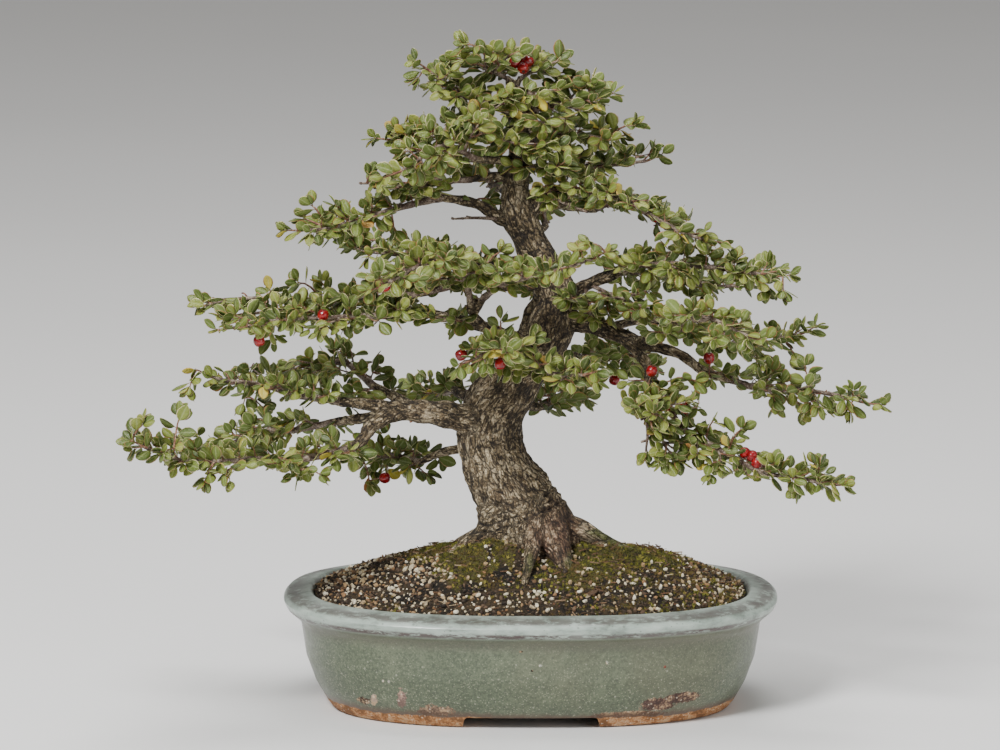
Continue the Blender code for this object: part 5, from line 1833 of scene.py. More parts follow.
def soil_reach(x: float, y: float) -> float:
    """How far out a place lies: 0 in the pot's middle and 1 at the soil's edge."""
    across = abs(x - POT_X) / (POT_HALF_WIDTH - RIM_INNER)
    over = abs(y) / (POT_HALF_DEPTH - RIM_INNER)
    return (across**OVAL_POWER + over**OVAL_POWER) ** (1.0 / OVAL_POWER)


def mound_height(x: float, y: float) -> float:
    """How high the mounds of moss stand over the dome at a place."""
    total = 0.0
    for middle_x, middle_y, reach_x, reach_y, height in MOUNDS:
        away = math.hypot((x - middle_x) / reach_x, (y - middle_y) / reach_y)
        if away < 1.6:
            total += height * math.exp(-2.2 * away**3)
    return total


def soil_height(x: float, y: float) -> float:
    """Height of the soil's surface, clods and all.

    Args:
        x: Distance to the right.
        y: Distance to the back.

    Returns:
        The height.
    """
    fall = min(soil_reach(x, y), 1.0) ** 2.4
    waves = math.sin(90 * x + 1) * math.cos(120 * y) + math.sin(210 * x) * math.sin(170 * y + 2)
    place = Vector((x, y, 0.0))
    clods = noise.fractal(place * 90.0, 1.0, 2.0, 4) * 0.0012 + noise.noise(place * 420.0) * 0.0004
    return SOIL_EDGE_Z + SOIL_RISE * (1.0 - fall) + (SOIL_ROUGH * waves) * (1.0 - fall) + clods + mound_height(x, y)


def soil_slope(x: float, y: float) -> Vector:
    """The soil's outward direction at a place."""
    step = 0.002
    fall_x = soil_height(x + step, y) - soil_height(x - step, y)
    fall_y = soil_height(x, y + step) - soil_height(x, y - step)
    return Vector((-fall_x, -fall_y, 2 * step)).normalized()


@dataclass
class SoilBed:
    """The soil that fills the pot, domed up to the roots."""

    sides: int = 144
    rings: int = 44
    off_wall: float = 0.0004

    def build(self) -> bpy.types.Object:
        """Model the soil and dress it.

        Returns:
            The soil.
        """
        turns = [-math.tau * k / self.sides for k in range(self.sides)]
        walls = ((FLOOR_INNER, FLOOR_Z + self.off_wall), (WALL_INNER, WALL_INNER_Z))
        rings = [[oval(inset + self.off_wall, turn) + UP * z for turn in turns] for inset, z in walls]
        for level in range(self.rings):
            share = (1.0 - level / self.rings) ** 0.8
            ring = []
            for turn in turns:
                edge = oval(RIM_INNER + self.off_wall, turn)
                x, y = POT_X + (edge.x - POT_X) * share, edge.y * share
                ring.append(Vector((x, y, soil_height(x, y))))
            rings.append(ring)
        soil = lofted("soil_bed", rings)
        add_values(soil, "moss", [moss_share(vertex.co.x, vertex.co.y) for vertex in soil.data.vertices])
        smooth_by_angle(soil, 60)
        dress(soil, SoilFinish().made())
        return settle(soil, Slot.SOIL, "soil")


def scattered(
    rng: random.Random, count: int, spacing: float, density: Callable[[float, float], float]
) -> list[Vector]:
    """Places on the soil, kept apart from one another.

    Args:
        rng: The source of chance.
        count: How many places to look for.
        spacing: The least distance between two.
        density: The chance, from 0 to 1, that a place is taken.

    Returns:
        The places, at the soil's height.
    """
    cells: dict[tuple[int, int], list[Vector]] = {}
    found = []
    for _ in range(count * 12):
        if len(found) >= count:
            break
        x = POT_X + rng.uniform(-1.0, 1.0) * (POT_HALF_WIDTH - RIM_INNER)
        y = rng.uniform(-1.0, 1.0) * (POT_HALF_DEPTH - RIM_INNER)
        if soil_reach(x, y) > 0.985 or rng.random() > density(x, y):
            continue
        place = Vector((x, y, 0.0))
        column, row = math.floor(x / spacing), math.floor(y / spacing)
        near = (cells.get((column + i, row + j), ()) for i in (-1, 0, 1) for j in (-1, 0, 1))
        if any((other - place).length < spacing for group in near for other in group):
            continue
        cells.setdefault((column, row), []).append(place)
        found.append(Vector((x, y, soil_height(x, y))))
    return found


def moss_share(x: float, y: float) -> float:
    """How mossy the soil is at a place: most round the trunk, in patches further out."""
    away = math.hypot((x - 0.012) / 1.25, y + 0.004)
    patch = noise.noise(Vector((x * 28.0 + 3.1, y * 28.0, 0.7)))
    ring = max(0.0, 1.0 - max(0.0, away - 0.030) / 0.040) * (1.0 - 0.40 * min(1.0, max(0.0, (x - 0.018) / 0.020)))
    mound = mound_height(x, y) * 260.0
    crumbled = 0.62 + 1.5 * patch + 1.5 * noise.noise(Vector((x * 170.0, y * 170.0, 4.0)))
    right = min(1.0, max(0.0, (x - 0.015) / 0.030)) * max(0.0, 0.12 + noise.noise(Vector((x * 240.0, y * 240.0, 9.0))))
    return min(1.0, max(0.0, (ring * 0.7 + mound) * crumbled + 0.6 * max(0.0, patch - 0.1) + 0.9 * right))


def grit_share(x: float, y: float) -> float:
    """How gritty the soil is at a place: most in front on the left and along the rim."""
    edge = max(0.0, soil_reach(x, y) - 0.62) / 0.38
    left = max(0.0, 1.0 - math.hypot((x + 0.060) / 0.062, (y + 0.040) / 0.045))
    bare = max(0.0, 1.0 - 1.05 * moss_share(x, y))
    rim = 0.55 - 0.35 * min(1.0, max(0.0, x / 0.05))
    return min(1.0, (0.20 + rim * edge + 1.1 * left) * bare)


def pebble_mould(rng: random.Random) -> Mould:
    """A grain of grit, knocked out of round."""
    deselect_all()
    bpy.ops.mesh.primitive_ico_sphere_add(subdivisions=1, radius=1.0)
    grain = bpy.context.object
    squash = Vector((rng.uniform(0.75, 1.1), rng.uniform(0.9, 1.45), rng.uniform(0.55, 0.85)))
    for vertex in grain.data.vertices:
        vertex.co = vertex.co * squash * rng.uniform(0.70, 1.18)
    return Mould.taken_from(grain)


def tuft_mould(rng: random.Random, blades: int) -> Mould:
    """A tuft of moss: thin cones that lean out from one root."""
    cones = []
    for number in range(blades):
        lean = rng.uniform(0.1, 0.85)
        turn = math.tau * (number + rng.uniform(-0.3, 0.3)) / blades
        deselect_all()
        bpy.ops.mesh.primitive_cone_add(vertices=3, radius1=0.20, radius2=0.0, depth=rng.uniform(0.7, 1.1))
        cone = bpy.context.object
        way = Vector((math.cos(turn) * lean, math.sin(turn) * lean, 1.0)).normalized()
        stand = way.to_track_quat("Z", "Y").to_matrix()
        for vertex in cone.data.vertices:
            vertex.co = stand @ (vertex.co + UP * 0.35)
        cones.append(cone)
    tuft = joined("tuft", cones)
    return Mould.taken_from(tuft)


@dataclass
class GroundCover:
    """The grit, the moss and the litter on the soil, each as one object."""

    grains: int = 2400
    tufts: int = 4200
    scraps: int = 760
    grain_radii: tuple[float, float] = (0.0007, 0.0016)
    rng: random.Random = field(default_factory=lambda: random.Random("ground"))

    def build(self) -> list[bpy.types.Object]:
        """Model all that lies on the soil.

        Returns:
            The grit, the moss and the litter.
        """
        return [self.grit(), self.moss(), self.litter()]

    def grit(self) -> bpy.types.Object:
        """Grains of pumice, lava and baked clay, half sunk in the soil."""
        moulds = [pebble_mould(self.rng) for _ in range(5)]
        casting = Casting("grit")
        for place in scattered(self.rng, self.grains, 0.0019, grit_share):
            radius = self.rng.uniform(*self.grain_radii) * self.rng.choice((0.8, 1.0, 1.0, 1.3))
            centre = place + UP * radius * self.rng.uniform(0.0, 0.45)
            matrix = placed(centre, random_way(self.rng), random_way(self.rng), radius)
            casting.strike(self.rng.choice(moulds), matrix, self.rng.random(), self.rng.random())
        return settle(casting.poured(GritFinish().made()), Slot.SOIL)

    def moss(self) -> bpy.types.Object:
        """Moss in low tufts that crowd round the trunk's foot."""
        moulds = [tuft_mould(self.rng, 6) for _ in range(4)]
        casting = Casting("moss")
        for place in scattered(self.rng, self.tufts, 0.0013, moss_share):
            size = self.rng.uniform(0.0011, 0.0032)
            way = soil_slope(place.x, place.y) + random_way(self.rng) * 0.35
            around = random_way(self.rng)
            matrix = placed(place - UP * 0.0003, way.cross(around), way, size)
            casting.strike(self.rng.choice(moulds), matrix, self.rng.random(), self.rng.random())
        return settle(casting.poured(MossFinish().made()), Slot.SOIL)

    def litter(self) -> bpy.types.Object:
        """Dead twig ends, straw and a dead leaf."""
        deselect_all()
        bpy.ops.mesh.primitive_cylinder_add(vertices=5, radius=1.0, depth=1.0)
        stick = bpy.context.object
        for vertex in stick.data.vertices:
            length = vertex.co.z
            vertex.co = Vector((vertex.co.x * 0.06, length, vertex.co.y * 0.06 + 0.06 * length * length))
        mould = Mould.taken_from(stick)
        leaves = LeafMoulds.made()
        casting = Casting("litter")
        for place in scattered(self.rng, self.scraps, 0.003, lambda x, y: 1.0):
            way = random_way(self.rng)
            way.z *= 0.15
            lift = 0.0006 + 0.0016 * moss_share(place.x, place.y)
            matrix = placed(place + UP * lift, way, UP, self.rng.uniform(0.002, 0.0065))
            casting.strike(mould, matrix, self.rng.random(), self.rng.random())
        for x, y, size in DEAD_LEAVES:
            place = Vector((x, y, soil_height(x, y) + 0.0012))
            way = random_way(self.rng)
            way.z = 0.1
            matrix = placed(place, way, UP + random_way(self.rng) * 0.4, size)
            casting.strike(leaves.curled, matrix, self.rng.random(), 1.0)
        return settle(casting.poured(LitterFinish().made(), LitterFinish().made()), Slot.SOIL)


# Wood


@dataclass(frozen=True)
class Sample:
    """A point of a centre line: its place, its frame, the length run so far and the radius there."""

    place: Vector
    way: Vector
    across: Vector
    run: float
    radius: float


def samples_along(points: Sequence[Vector], radii: Sequence[float], start: float) -> list[Sample]:
    """Samples of a centre line with a frame that doesn't turn about it.

    Args:
        points: The line.
        radii: The radius at each point.
        start: The length to count from, which sets the bark of one line apart from another's.

    Returns:
        The samples.
    """
    ways = headings(points)
    across = ways[0].orthogonal().normalized()
    found = []
    run = start
    for number, (point, way, radius) in enumerate(zip(points, ways, radii)):
        if number:
            run += (point - points[number - 1]).length
        across = (across - way * across.dot(way)).normalized()
        found.append(Sample(point, way, across, run, radius))
    return found


@dataclass
class Wood:
    """The trunk, its surface roots and its branches, fused and covered in bark."""

    sides: int = 36
    voxel: float = 0.00125
    bark_depth: float = 0.052
    deepest: float = 0.0011
    level_below: float = 0.170
    level_fade: float = 0.020
    samples: list[Sample] = field(default_factory=list)

    def build(self) -> bpy.types.Object:
        """Model the wood, fuse it and raise its bark.

        Returns:
            The wood.
        """
        wood = joined("wood", [self.trunk(), *self.roots(), self.branches(), self.burl()])
        take_up(wood)
        wood.data.remesh_voxel_size = self.voxel
        wood.data.remesh_voxel_adaptivity = 0.0
        bpy.ops.object.voxel_remesh()
        apply_modifier(wood, "SMOOTH", factor=0.5, iterations=4)
        self.raise_bark(wood)
        smooth_by_angle(wood, 75)
        dress(wood, BarkFinish().made())
        return settle(wood, Slot.BARK, "trunk")

    def trunk(self) -> bpy.types.Object:
        """The trunk, fluted towards its foot."""
        points = smoothed_line([Vector(place) for place, _ in TRUNK], 5)
        radii = smoothed_values([radius for _, radius in TRUNK], 5)
        self.samples += samples_along(points, radii, 0.0)

        def flutes(level: int, angle: float) -> float:
            """Share of the radius, with ribs over the roots that fade out up the trunk."""
            foot = max(0.0, 1.0 - level / (len(points) * 0.28))
            drift = level * 0.05
            ribs = 0.09 * foot * math.sin(5 * angle + drift) + 0.035 * math.sin(3 * angle - drift * 1.7)
            return 1.0 + ribs + 0.03 * math.sin(8 * angle + 2.0 * math.sin(drift * 2.0))

        ways = [
            way.lerp(UP, max(0.0, min(1.0, (self.level_below - point.z) / self.level_fade))).normalized()
            for point, way in zip(points, headings(points))
        ]
        return lofted("trunk_skin", tube_rings(points, radii, self.sides, flutes, ways))

    def roots(self) -> list[bpy.types.Object]:
        """The surface roots, each with a shallow ridge on its back."""
        found = []
        for number, places in enumerate(ROOTS):
            points = smoothed_line([Vector(place) for place in places], 6)
            radii = smoothed_values([radius * ROOT_STOUTNESS[number] for radius in ROOT_RADII], 6)
            self.samples += samples_along(points, radii, 1.0 + number)

            def flutes(level: int, angle: float, shift: float = float(number)) -> float:
                """Share of the radius, uneven along and round the root."""
                return 1.0 + 0.12 * math.sin(2 * angle + shift + level * 0.12) + 0.06 * math.sin(level * 0.7 + shift)

            found.append(lofted(f"root_{number}", tube_rings(points, radii, 16, flutes)))
        return found

    def branches(self) -> bpy.types.Object:
        """The wooden runs of all branches."""
        runs = []
        for number, limb in enumerate(LIMBS):
            line = [Vector(place) for place in limb.wood]
            points = smoothed_line(line, 5)
            root, cut, tip = limb.radii
            end = cut if limb.leafy else tip
            count = len(points) - 1
            radii = [
                root + (end - root) * k / count + (0.0 if k in (0, count) else 0.07 * root * math.sin(k * 1.9 + number))
                for k in range(count + 1)
            ]
            self.samples += samples_along(points, radii, 20.0 + number)
            runs.append(Run(points, radii))
        return round_runs("branches", runs, 4)

    def burl(self) -> bpy.types.Object:
        """The swelling on the trunk's right."""
        deselect_all()
        centre, radius = BURL
        bpy.ops.mesh.primitive_ico_sphere_add(subdivisions=3, radius=radius, location=centre)
        bpy.ops.object.transform_apply(location=True, rotation=False, scale=False)
        return bpy.context.object

    def raise_bark(self, wood: bpy.types.Object) -> None:
        """Move the skin in and out as bark plates and cracks, and note what the material needs.

        Args:
            wood: The fused wood.
        """
        tree = kdtree.KDTree(len(self.samples))
        for number, sample in enumerate(self.samples):
            tree.insert(sample.place, number)
        tree.balance()
        mesh = wood.data
        normals = [vertex.normal.copy() for vertex in mesh.vertices]
        grain, cracks, reddish, mossy, thick = [], [], [], [], []
        for vertex, normal in zip(mesh.vertices, normals):
            sample = self.nearest(tree, vertex.co)
            offset = vertex.co - sample.place
            along = offset.dot(sample.way)
            side = offset.dot(sample.across)
            over = offset.dot(sample.way.cross(sample.across))
            spot = Vector((side, over, (sample.run + along) * 0.42))
            near = noise.voronoi(spot * 150.0)[0]
            plate = min(1.0, (near[1] - near[0]) * 2.2)
            fissure = 1.0 - abs(noise.noise(Vector((spot.x * 170, spot.y * 170, spot.z * 55))))
            lumps = noise.fractal(vertex.co * 70.0, 1.0, 2.0, 3)
            depth = min(self.deepest, self.bark_depth * sample.radius)
            furrow = max(0.0, fissure - 0.84) * (4.0 + 5.0 * self.furrowed(vertex.co))
            flake = noise.voronoi(spot * 330.0)[0]
            relief = (plate - 0.6) * 0.7 + min(1.0, (flake[1] - flake[0]) * 2.0) * 0.5 - furrow
            relief += lumps * 0.7 + self.ledges(vertex.co)
            vertex.co = vertex.co + normal * relief * depth
            grain += [spot.x, spot.y, spot.z]
            # Deepest places of the skin, which the bark material darkens as painted shade
            cracks.append(max(0.0, min(1.0, 0.45 - relief * 0.35)))
            reddish.append(self.redness(vertex.co))
            mossy.append(self.mossiness(vertex.co, normal))
            thick.append(min(1.0, sample.radius / 0.012))
        mesh.attributes.new("grain", "FLOAT_VECTOR", "POINT").data.foreach_set("vector", grain)
        add_values(wood, "painted_crack_shade", cracks)
        add_values(wood, "red", reddish)
        add_values(wood, "moss", mossy)
        add_values(wood, "thick", thick)
        mesh.update()

    def nearest(self, tree: kdtree.KDTree, place: Vector) -> Sample:
        """The centre-line sample whose own surface lies nearest to a place."""
        close = tree.find_n(place, 8)
        number = min(close, key=lambda hit: hit[2] - self.samples[hit[1]].radius)[1]
        return self.samples[number]

    def furrowed(self, place: Vector) -> float:
        """How deep the lengthwise furrows run: deepest low on the trunk's left."""
        low = max(0.0, 1.0 - abs(place.z - 0.118) / 0.030)
        return low * max(0.0, min(1.0, 0.5 - (place.x - 0.0) / 0.02))

    def ledges(self, place: Vector) -> float:
        """The ledges of loose bark that ring the trunk above its roots, most in front."""
        level = (place.z - 0.0965 - 0.36 * (place.x + 0.013)) / 0.0042 + 0.5 * noise.noise(place * 60.0)
        if not 0.0 < level < 4.0 or abs(place.x - 0.006) > 0.030:
            return 0.0
        front = max(0.0, min(1.0, 0.6 - place.y / 0.02))
        worn = max(0.0, 0.7 + noise.noise(place * 75.0))
        return 3.2 * front * worn * math.sin(math.tau * level) * (1.0 - level / 5.0)

    def redness(self, place: Vector) -> float:
        """How reddish the bark is: most on the flare of the right-hand root."""
        flare = 1.0 - min(1.0, math.hypot((place.x - 0.030) / 0.020, (place.z - 0.099) / 0.022))
        patch = max(0.0, noise.noise(place * 45.0 + Vector((4.0, 0.0, 0.0))))
        return min(1.0, flare * 1.7 + patch * 0.35)

    def mossiness(self, place: Vector, normal: Vector) -> float:
        """How much moss or lichen grows on the bark at a place."""
        low = (place.z - 0.080 - 0.25 * max(0.0, place.x - 0.030)) / 0.024
        foot = max(0.0, 1.0 - low) * (0.35 + 0.65 * max(0.0, normal.z))
        lichen = max(0.0, noise.noise(place * 60.0)) * max(0.0, 1.0 - (place.z - 0.11) / 0.12)
        ridge = min(1.0, max(0.0, (place.x - 0.041) / 0.010)) * max(0.0, normal.z + 0.3) if place.z < 0.10 else 0.0
        growth = foot * (0.5 + noise.noise(place * 90.0)) + ridge * (1.2 + 1.4 * noise.noise(place * 70.0))
        return min(1.0, max(0.0, growth + 0.5 * lichen * max(0.2, normal.z)))


# Leafy sprays


def leaf_blade(name: str, cup: float, arch: float) -> bpy.types.Object:
    """A leaf of length one that grows along +Y from the origin, with its upper side to +Z.

    Args:
        name: The object's name.
        cup: How far the edges bend down from the midrib, or up where it is below zero.
        arch: How far the tip bends down.

    Returns:
        The leaf, a closed mesh with its underside in the second material.
    """
    columns, rows = len(LEAF_COLUMNS) - 1, len(LEAF_ROWS) - 1
    deselect_all()
    bpy.ops.mesh.primitive_grid_add(x_subdivisions=columns, y_subdivisions=rows, size=2.0)
    leaf = bpy.context.object
    leaf.name = leaf.data.name = name
    for vertex in leaf.data.vertices:
        side = LEAF_COLUMNS[round((vertex.co.x + 1.0) * 0.5 * columns)]
        along = LEAF_ROWS[round((vertex.co.y + 1.0) * 0.5 * rows)]
        if along < LEAF_STALK:
            half = 0.030 - 0.03 * along
        else:
            share = (along - LEAF_STALK) / (1.0 - LEAF_STALK)
            half = max(0.02, 0.325 * abs(math.sin(math.pi * share**1.12)) ** 0.62)
        rise = 0.06 * along - arch * along * along - cup * side * side * half
        vertex.co = Vector((side * half, along, rise))
    bpy.ops.object.mode_set(mode="EDIT")
    bpy.ops.mesh.select_all(action="SELECT")
    bpy.ops.mesh.duplicate()
    bpy.ops.mesh.flip_normals()
    skin = bmesh.from_edit_mesh(leaf.data)
    for vertex in skin.verts:
        if vertex.select and not vertex.is_boundary:
            vertex.co.z -= LEAF_THICKNESS
    for face in skin.faces:
        if face.select:
            face.material_index = 1
    bmesh.update_edit_mesh(leaf.data)
    bpy.ops.mesh.select_all(action="SELECT")
    bpy.ops.mesh.remove_doubles(threshold=1e-4)
    bpy.ops.object.mode_set(mode="OBJECT")
    bpy.ops.object.shade_smooth()
    return leaf


@dataclass(frozen=True)
class LeafMoulds:
    """The shapes that a spray is set with: four kinds of leaf and a berry."""

    flat: Mould
    cupped: Mould
    folded: Mould
    curled: Mould
    berry: Mould

    @classmethod
    def made(cls) -> "LeafMoulds":
        """Model every shape once.

        Returns:
            The moulds.
        """
        deselect_all()
        bpy.ops.mesh.primitive_uv_sphere_add(segments=12, ring_count=8, radius=1.0)
        berry = bpy.context.object
        for vertex in berry.data.vertices:
            x, y, z = vertex.co
            dent = 0.22 * max(0.0, z - 0.86) / 0.14
            vertex.co = Vector((x, z * 1.08 - dent, -y))
        bpy.ops.object.shade_smooth()
        return cls(
            flat=Mould.taken_from(leaf_blade("leaf_flat", 0.14, 0.14)),
            cupped=Mould.taken_from(leaf_blade("leaf_cupped", 0.42, 0.24)),
            folded=Mould.taken_from(leaf_blade("leaf_folded", -0.30, 0.20)),
            curled=Mould.taken_from(leaf_blade("leaf_curled", 0.34, 0.40)),
            berry=Mould.taken_from(berry),
        )

    def pick(self, rng: random.Random) -> Mould:
        """One of the kinds of leaf, most often the flat one."""
        return rng.choice((self.flat, self.flat, self.cupped, self.cupped, self.folded, self.curled))


@dataclass(frozen=True)
class Habit:
    """How densely a spray grows. All lengths are in metres."""

    twig_spacing: tuple[float, float] = (0.0062, 0.0090)
    twig_reach: tuple[float, float] = (0.014, 0.025)
    twig_lean: tuple[float, float] = (0.35, 0.95)
    twig_rise: tuple[float, float] = (-0.14, 0.18)
    inner_spacing: tuple[float, float] = (0.0080, 0.0120)
    bare_share: float = 0.6
    side_spacing: tuple[float, float] = (0.0080, 0.0110)
    side_reach: tuple[float, float] = (0.006, 0.013)
    shoot_spacing: tuple[float, float] = (0.010, 0.016)
    shoot_reach: tuple[float, float] = (0.003, 0.008)
    leaf_spacing: tuple[float, float] = (0.0023, 0.0033)
    leaf_length: tuple[float, float] = (0.0092, 0.0124)
    young_length: tuple[float, float] = (0.0070, 0.0096)
    tip_shoot: float = 0.010
    apart: float = 0.0048
    berry_clear: float = 0.0060


def in_clearing(place: Vector) -> bool:
    """Whether a leaf's middle would hang in one of the clear spaces between the tiers."""
    nearer = FRONT_DISTANCE / (FRONT_DISTANCE + place.y)
    right, high = place.x * nearer, place.z + FRONT_FALL * place.y
    return any(
        math.hypot((right - x) / (reach_x + LEAF_CLEAR), (high - z) / (reach_z + LEAF_CLEAR)) < 1.0
        for x, z, reach_x, reach_z in CLEARINGS
    )


@dataclass
class Spray:
    """A leafy branch end: its stem, its twigs, its leaves and its berries."""

    limb: Limb
    berries: Sequence[Vector]
    moulds: LeafMoulds
    habit: Habit = field(default_factory=Habit)
    woody: list[Run] = field(default_factory=list)
    green: list[Run] = field(default_factory=list)
    seats: dict[tuple[int, int, int], list[Vector]] = field(default_factory=dict)

    def __post_init__(self) -> None:
        """Seed the spray with its own name."""
        self.rng = random.Random(self.limb.name)
        self.casting = Casting(f"leaves_{self.limb.name}")

    def build(self) -> bpy.types.Object:
        """Grow the spray.

        Returns:
            The spray, as one object.
        """
        stem = self.stem()
        self.side_twigs(stem, self.habit.twig_spacing, 0.004)
        self.side_twigs(self.bare_wood(), self.habit.inner_spacing, 0.0)
        self.upright_shoots(stem)
        self.sprigs()
        self.hang_berries()
        leaves = self.casting.poured(LeafFinish("leaf_upper", Side.UPPER).made(), LeafFinish("leaf_lower", Side.LOWER).made(), BerryFinish().made())
        pieces = [leaves]
        for name, runs, roundness, age in (("woody", self.woody, 1, Age.OLD), ("green", self.green, 0, Age.YOUNG)):
            twigs = round_runs(f"{name}_{self.limb.name}", runs, roundness)
            twigs.data.shade_smooth()
            dress(twigs, TwigFinish(f"twig_{age.value}", age).made())
            pieces.append(twigs)
        return settle(joined(f"foliage_{self.limb.name}", pieces), Slot.FOLIAGE, f"spray_{self.limb.name}")

    def between(self, bounds: tuple[float, float]) -> float:
        """A number drawn evenly from a range."""
        return self.rng.uniform(*bounds)

    def stem(self) -> list[Vector]:
        """The stem, which starts a little inside the branch's end and wanders slightly."""
        _, cut, tip = self.limb.radii
        end = Vector(self.limb.wood[-1])
        way = (end - Vector(self.limb.wood[-2])).normalized()
        points = smoothed_line([end - way * 0.002, *(Vector(place) for place in self.limb.leafy)], 6)
        count = len(points) - 1
        for k, point in enumerate(points[1:], 1):
            point += noise.noise_vector(point * 60.0) * 0.0011 * min(1.0, k / 4)
        radii = [(cut + (tip - cut) * (k / count) ** 0.8) * (1.0 + 0.08 * math.sin(2.3 * k)) for k in range(count + 1)]
        self.woody.append(Run(points, radii))
        self.set_leaves(points[count // 3 :], 0.8)
        shoot = self.twig(points[-1], headings(points)[-1] + UP * 0.15, self.habit.tip_shoot, tip * 0.9, self.green)
        self.set_leaves(shoot, 0.4)
        self.whorl(shoot[-1], headings(shoot)[-1], 4)
        return points

    def sprigs(self) -> None:
        """The leafy side branches and shoots that fill out the outline."""
        for name, places in SPRIGS:
            if name == self.limb.name:
                points = smoothed_line([Vector(place) for place in places], 5)
                count = len(points) - 1
                self.woody.append(Run(points, [0.0013 - 0.0007 * k / count for k in range(count + 1)]))
                self.set_leaves(points[2:], 0.2)
                self.whorl(points[-1], headings(points)[-1], 4)
                self.side_twigs(points[2:], self.habit.twig_spacing, 0.002)
        for place in TIPS.get(self.limb.name, ()):
            tip = Vector(place)
            root = self.nearest_joint(tip)
            bow = UP * (0.12 * (tip - root).length)
            points = [root, root.lerp(tip, 0.33) + bow, root.lerp(tip, 0.67) + bow, tip]
            self.green.append(Run(points, [0.0007, 0.0006, 0.0005, 0.0004]))
            self.set_leaves(points, 0.2)
            self.whorl(tip, (tip - root + UP * 0.001).normalized(), 5)

    def nearest_joint(self, place: Vector) -> Vector:
        """The nearest point of the spray's twigs to a place."""
        joints = [point for run in (*self.woody, *self.green) for point in run.points]
        return min(joints, key=lambda point: (point - place).length)

    def twig(self, root: Vector, aim: Vector, reach: float, radius: float, runs: list[Run]) -> list[Vector]:
        """Grow one twig that turns slowly up towards the light.

        Args:
            root: Where it leaves its parent.
            aim: Its first direction.
            reach: Its length.
            radius: Its radius at the root.
            runs: The list that it joins.

        Returns:
            Its points.
        """
        steps = max(3, round(reach / 0.0034))
        points = [root]
        way = aim.normalized()
        for _ in range(steps):
            way = (way + UP * 0.02 + random_way(self.rng) * 0.15).normalized()
            ahead = points[-1] + way * (reach / steps)
            if len(points) > 1 and in_clearing(ahead):
                break
            points.append(ahead)
        runs.append(Run(points, [radius * (1.0 - 0.55 * k / steps) for k in range(len(points))]))
        return points

    def walk(self, points: Sequence[Vector], spacing: tuple[float, float], start: float) -> Iterable[tuple[Vector, Vector, float]]:
        """Step along a line.

        Args:
            points: The line.
            spacing: The range of the steps' lengths.
            start: How far along to begin.

        Yields:
            A place, the line's direction there and the share of the length run so far.
        """
        total = sum((b - a).length for a, b in zip(points, points[1:]))
        aim = start
        run = 0.0
        for a, b in zip(points, points[1:]):
            length = (b - a).length
            while aim <= run + length and length > 0.0:
                yield a.lerp(b, (aim - run) / length), (b - a) / length, aim / total
                aim += self.between(spacing)
            run += length

    def bare_wood(self) -> list[Vector]:
        """The outer part of the branch's wooden run, where some twigs grow too."""
        points = smoothed_line([Vector(place) for place in self.limb.wood], 5)
        return points[round(len(points) * self.habit.bare_share) :]

    def side_twigs(self, stem: Sequence[Vector], spacing: tuple[float, float], start: float) -> None:
        """Twigs to both sides of a stem, each with smaller twigs of its own.

        Args:
            stem: The stem's points.
            spacing: The range of the distances between two twigs.
            start: How far along the stem the first one stands.
        """
        hand = 1
        for root, way, share in self.walk(stem, spacing, start):
            hand = -hand
            side = UP.cross(way).normalized() * hand
            taper = 1.0 - 0.72 * max(0.0, share - 0.55) / 0.45
            profile = (0.66 + 0.34 * math.sin(math.pi * min(1.0, share * 1.3))) * taper
            reach = self.between(self.habit.twig_reach) * profile
            aim = side + way * self.between(self.habit.twig_lean) + UP * self.between(self.habit.twig_rise)
            aim += random_way(self.rng) * 0.22
            twig = self.twig(root, aim, reach, 0.00085, self.woody)
            self.set_leaves(twig, 0.25)
            self.whorl(twig[-1], headings(twig)[-1], 4)
            self.small_twigs(twig)

    def small_twigs(self, parent: Sequence[Vector]) -> None:
        """Twigs to both sides of a side twig."""
        hand = self.rng.choice((-1, 1))
        for root, way, share in self.walk(parent, self.habit.side_spacing, 0.0045):
            hand = -hand
            side = UP.cross(way).normalized() * hand
            aim = side + way * self.between(self.habit.twig_lean) + UP * self.between(self.habit.twig_rise)
            reach = self.between(self.habit.side_reach) * (1.1 - 0.45 * share)
            twig = self.twig(root, aim + random_way(self.rng) * 0.3, reach, 0.00055, self.green)
            self.set_leaves(twig, 0.2)
            self.whorl(twig[-1], headings(twig)[-1], 3)

    def upright_shoots(self, stem: Sequence[Vector]) -> None:
        """Short shoots that stand up from the stem."""
        for root, way, _ in self.walk(stem, self.habit.shoot_spacing, 0.006):
            aim = UP + way * self.rng.uniform(-0.2, 0.7) + random_way(self.rng) * 0.45
            twig = self.twig(root, aim, self.between(self.habit.shoot_reach), 0.0006, self.green)
            self.set_leaves(twig, 0.1)
            self.whorl(twig[-1], headings(twig)[-1], 4)

    def set_leaves(self, points: Sequence[Vector], start_share: float) -> None:
        """Set leaves in a spiral along a twig.

        Args:
            points: The twig.
            start_share: The bare share of a leaf's spacing count at the root.
        """
        turn = self.rng.uniform(0.0, math.tau)
        for root, way, _ in self.walk(points, self.habit.leaf_spacing, 0.002 + 0.004 * start_share):
            turn += 2.4 + self.rng.uniform(-0.3, 0.3)
            outward = self.around(way, turn)
            outward.z *= 0.5
            self.leaf(root, outward + way * self.rng.uniform(0.3, 0.9), self.between(self.habit.leaf_length), way)

    def whorl(self, tip: Vector, way: Vector, count: int) -> None:
        """The rosette of smaller leaves at a twig's tip."""
        turn = self.rng.uniform(0.0, math.tau)
        for number in range(count):
            outward = self.around(way, turn + math.tau * number / count)
            length = self.between(self.habit.young_length)
            self.leaf(tip, outward * self.rng.uniform(0.5, 1.0) + way, length, way, apart=0.0024)

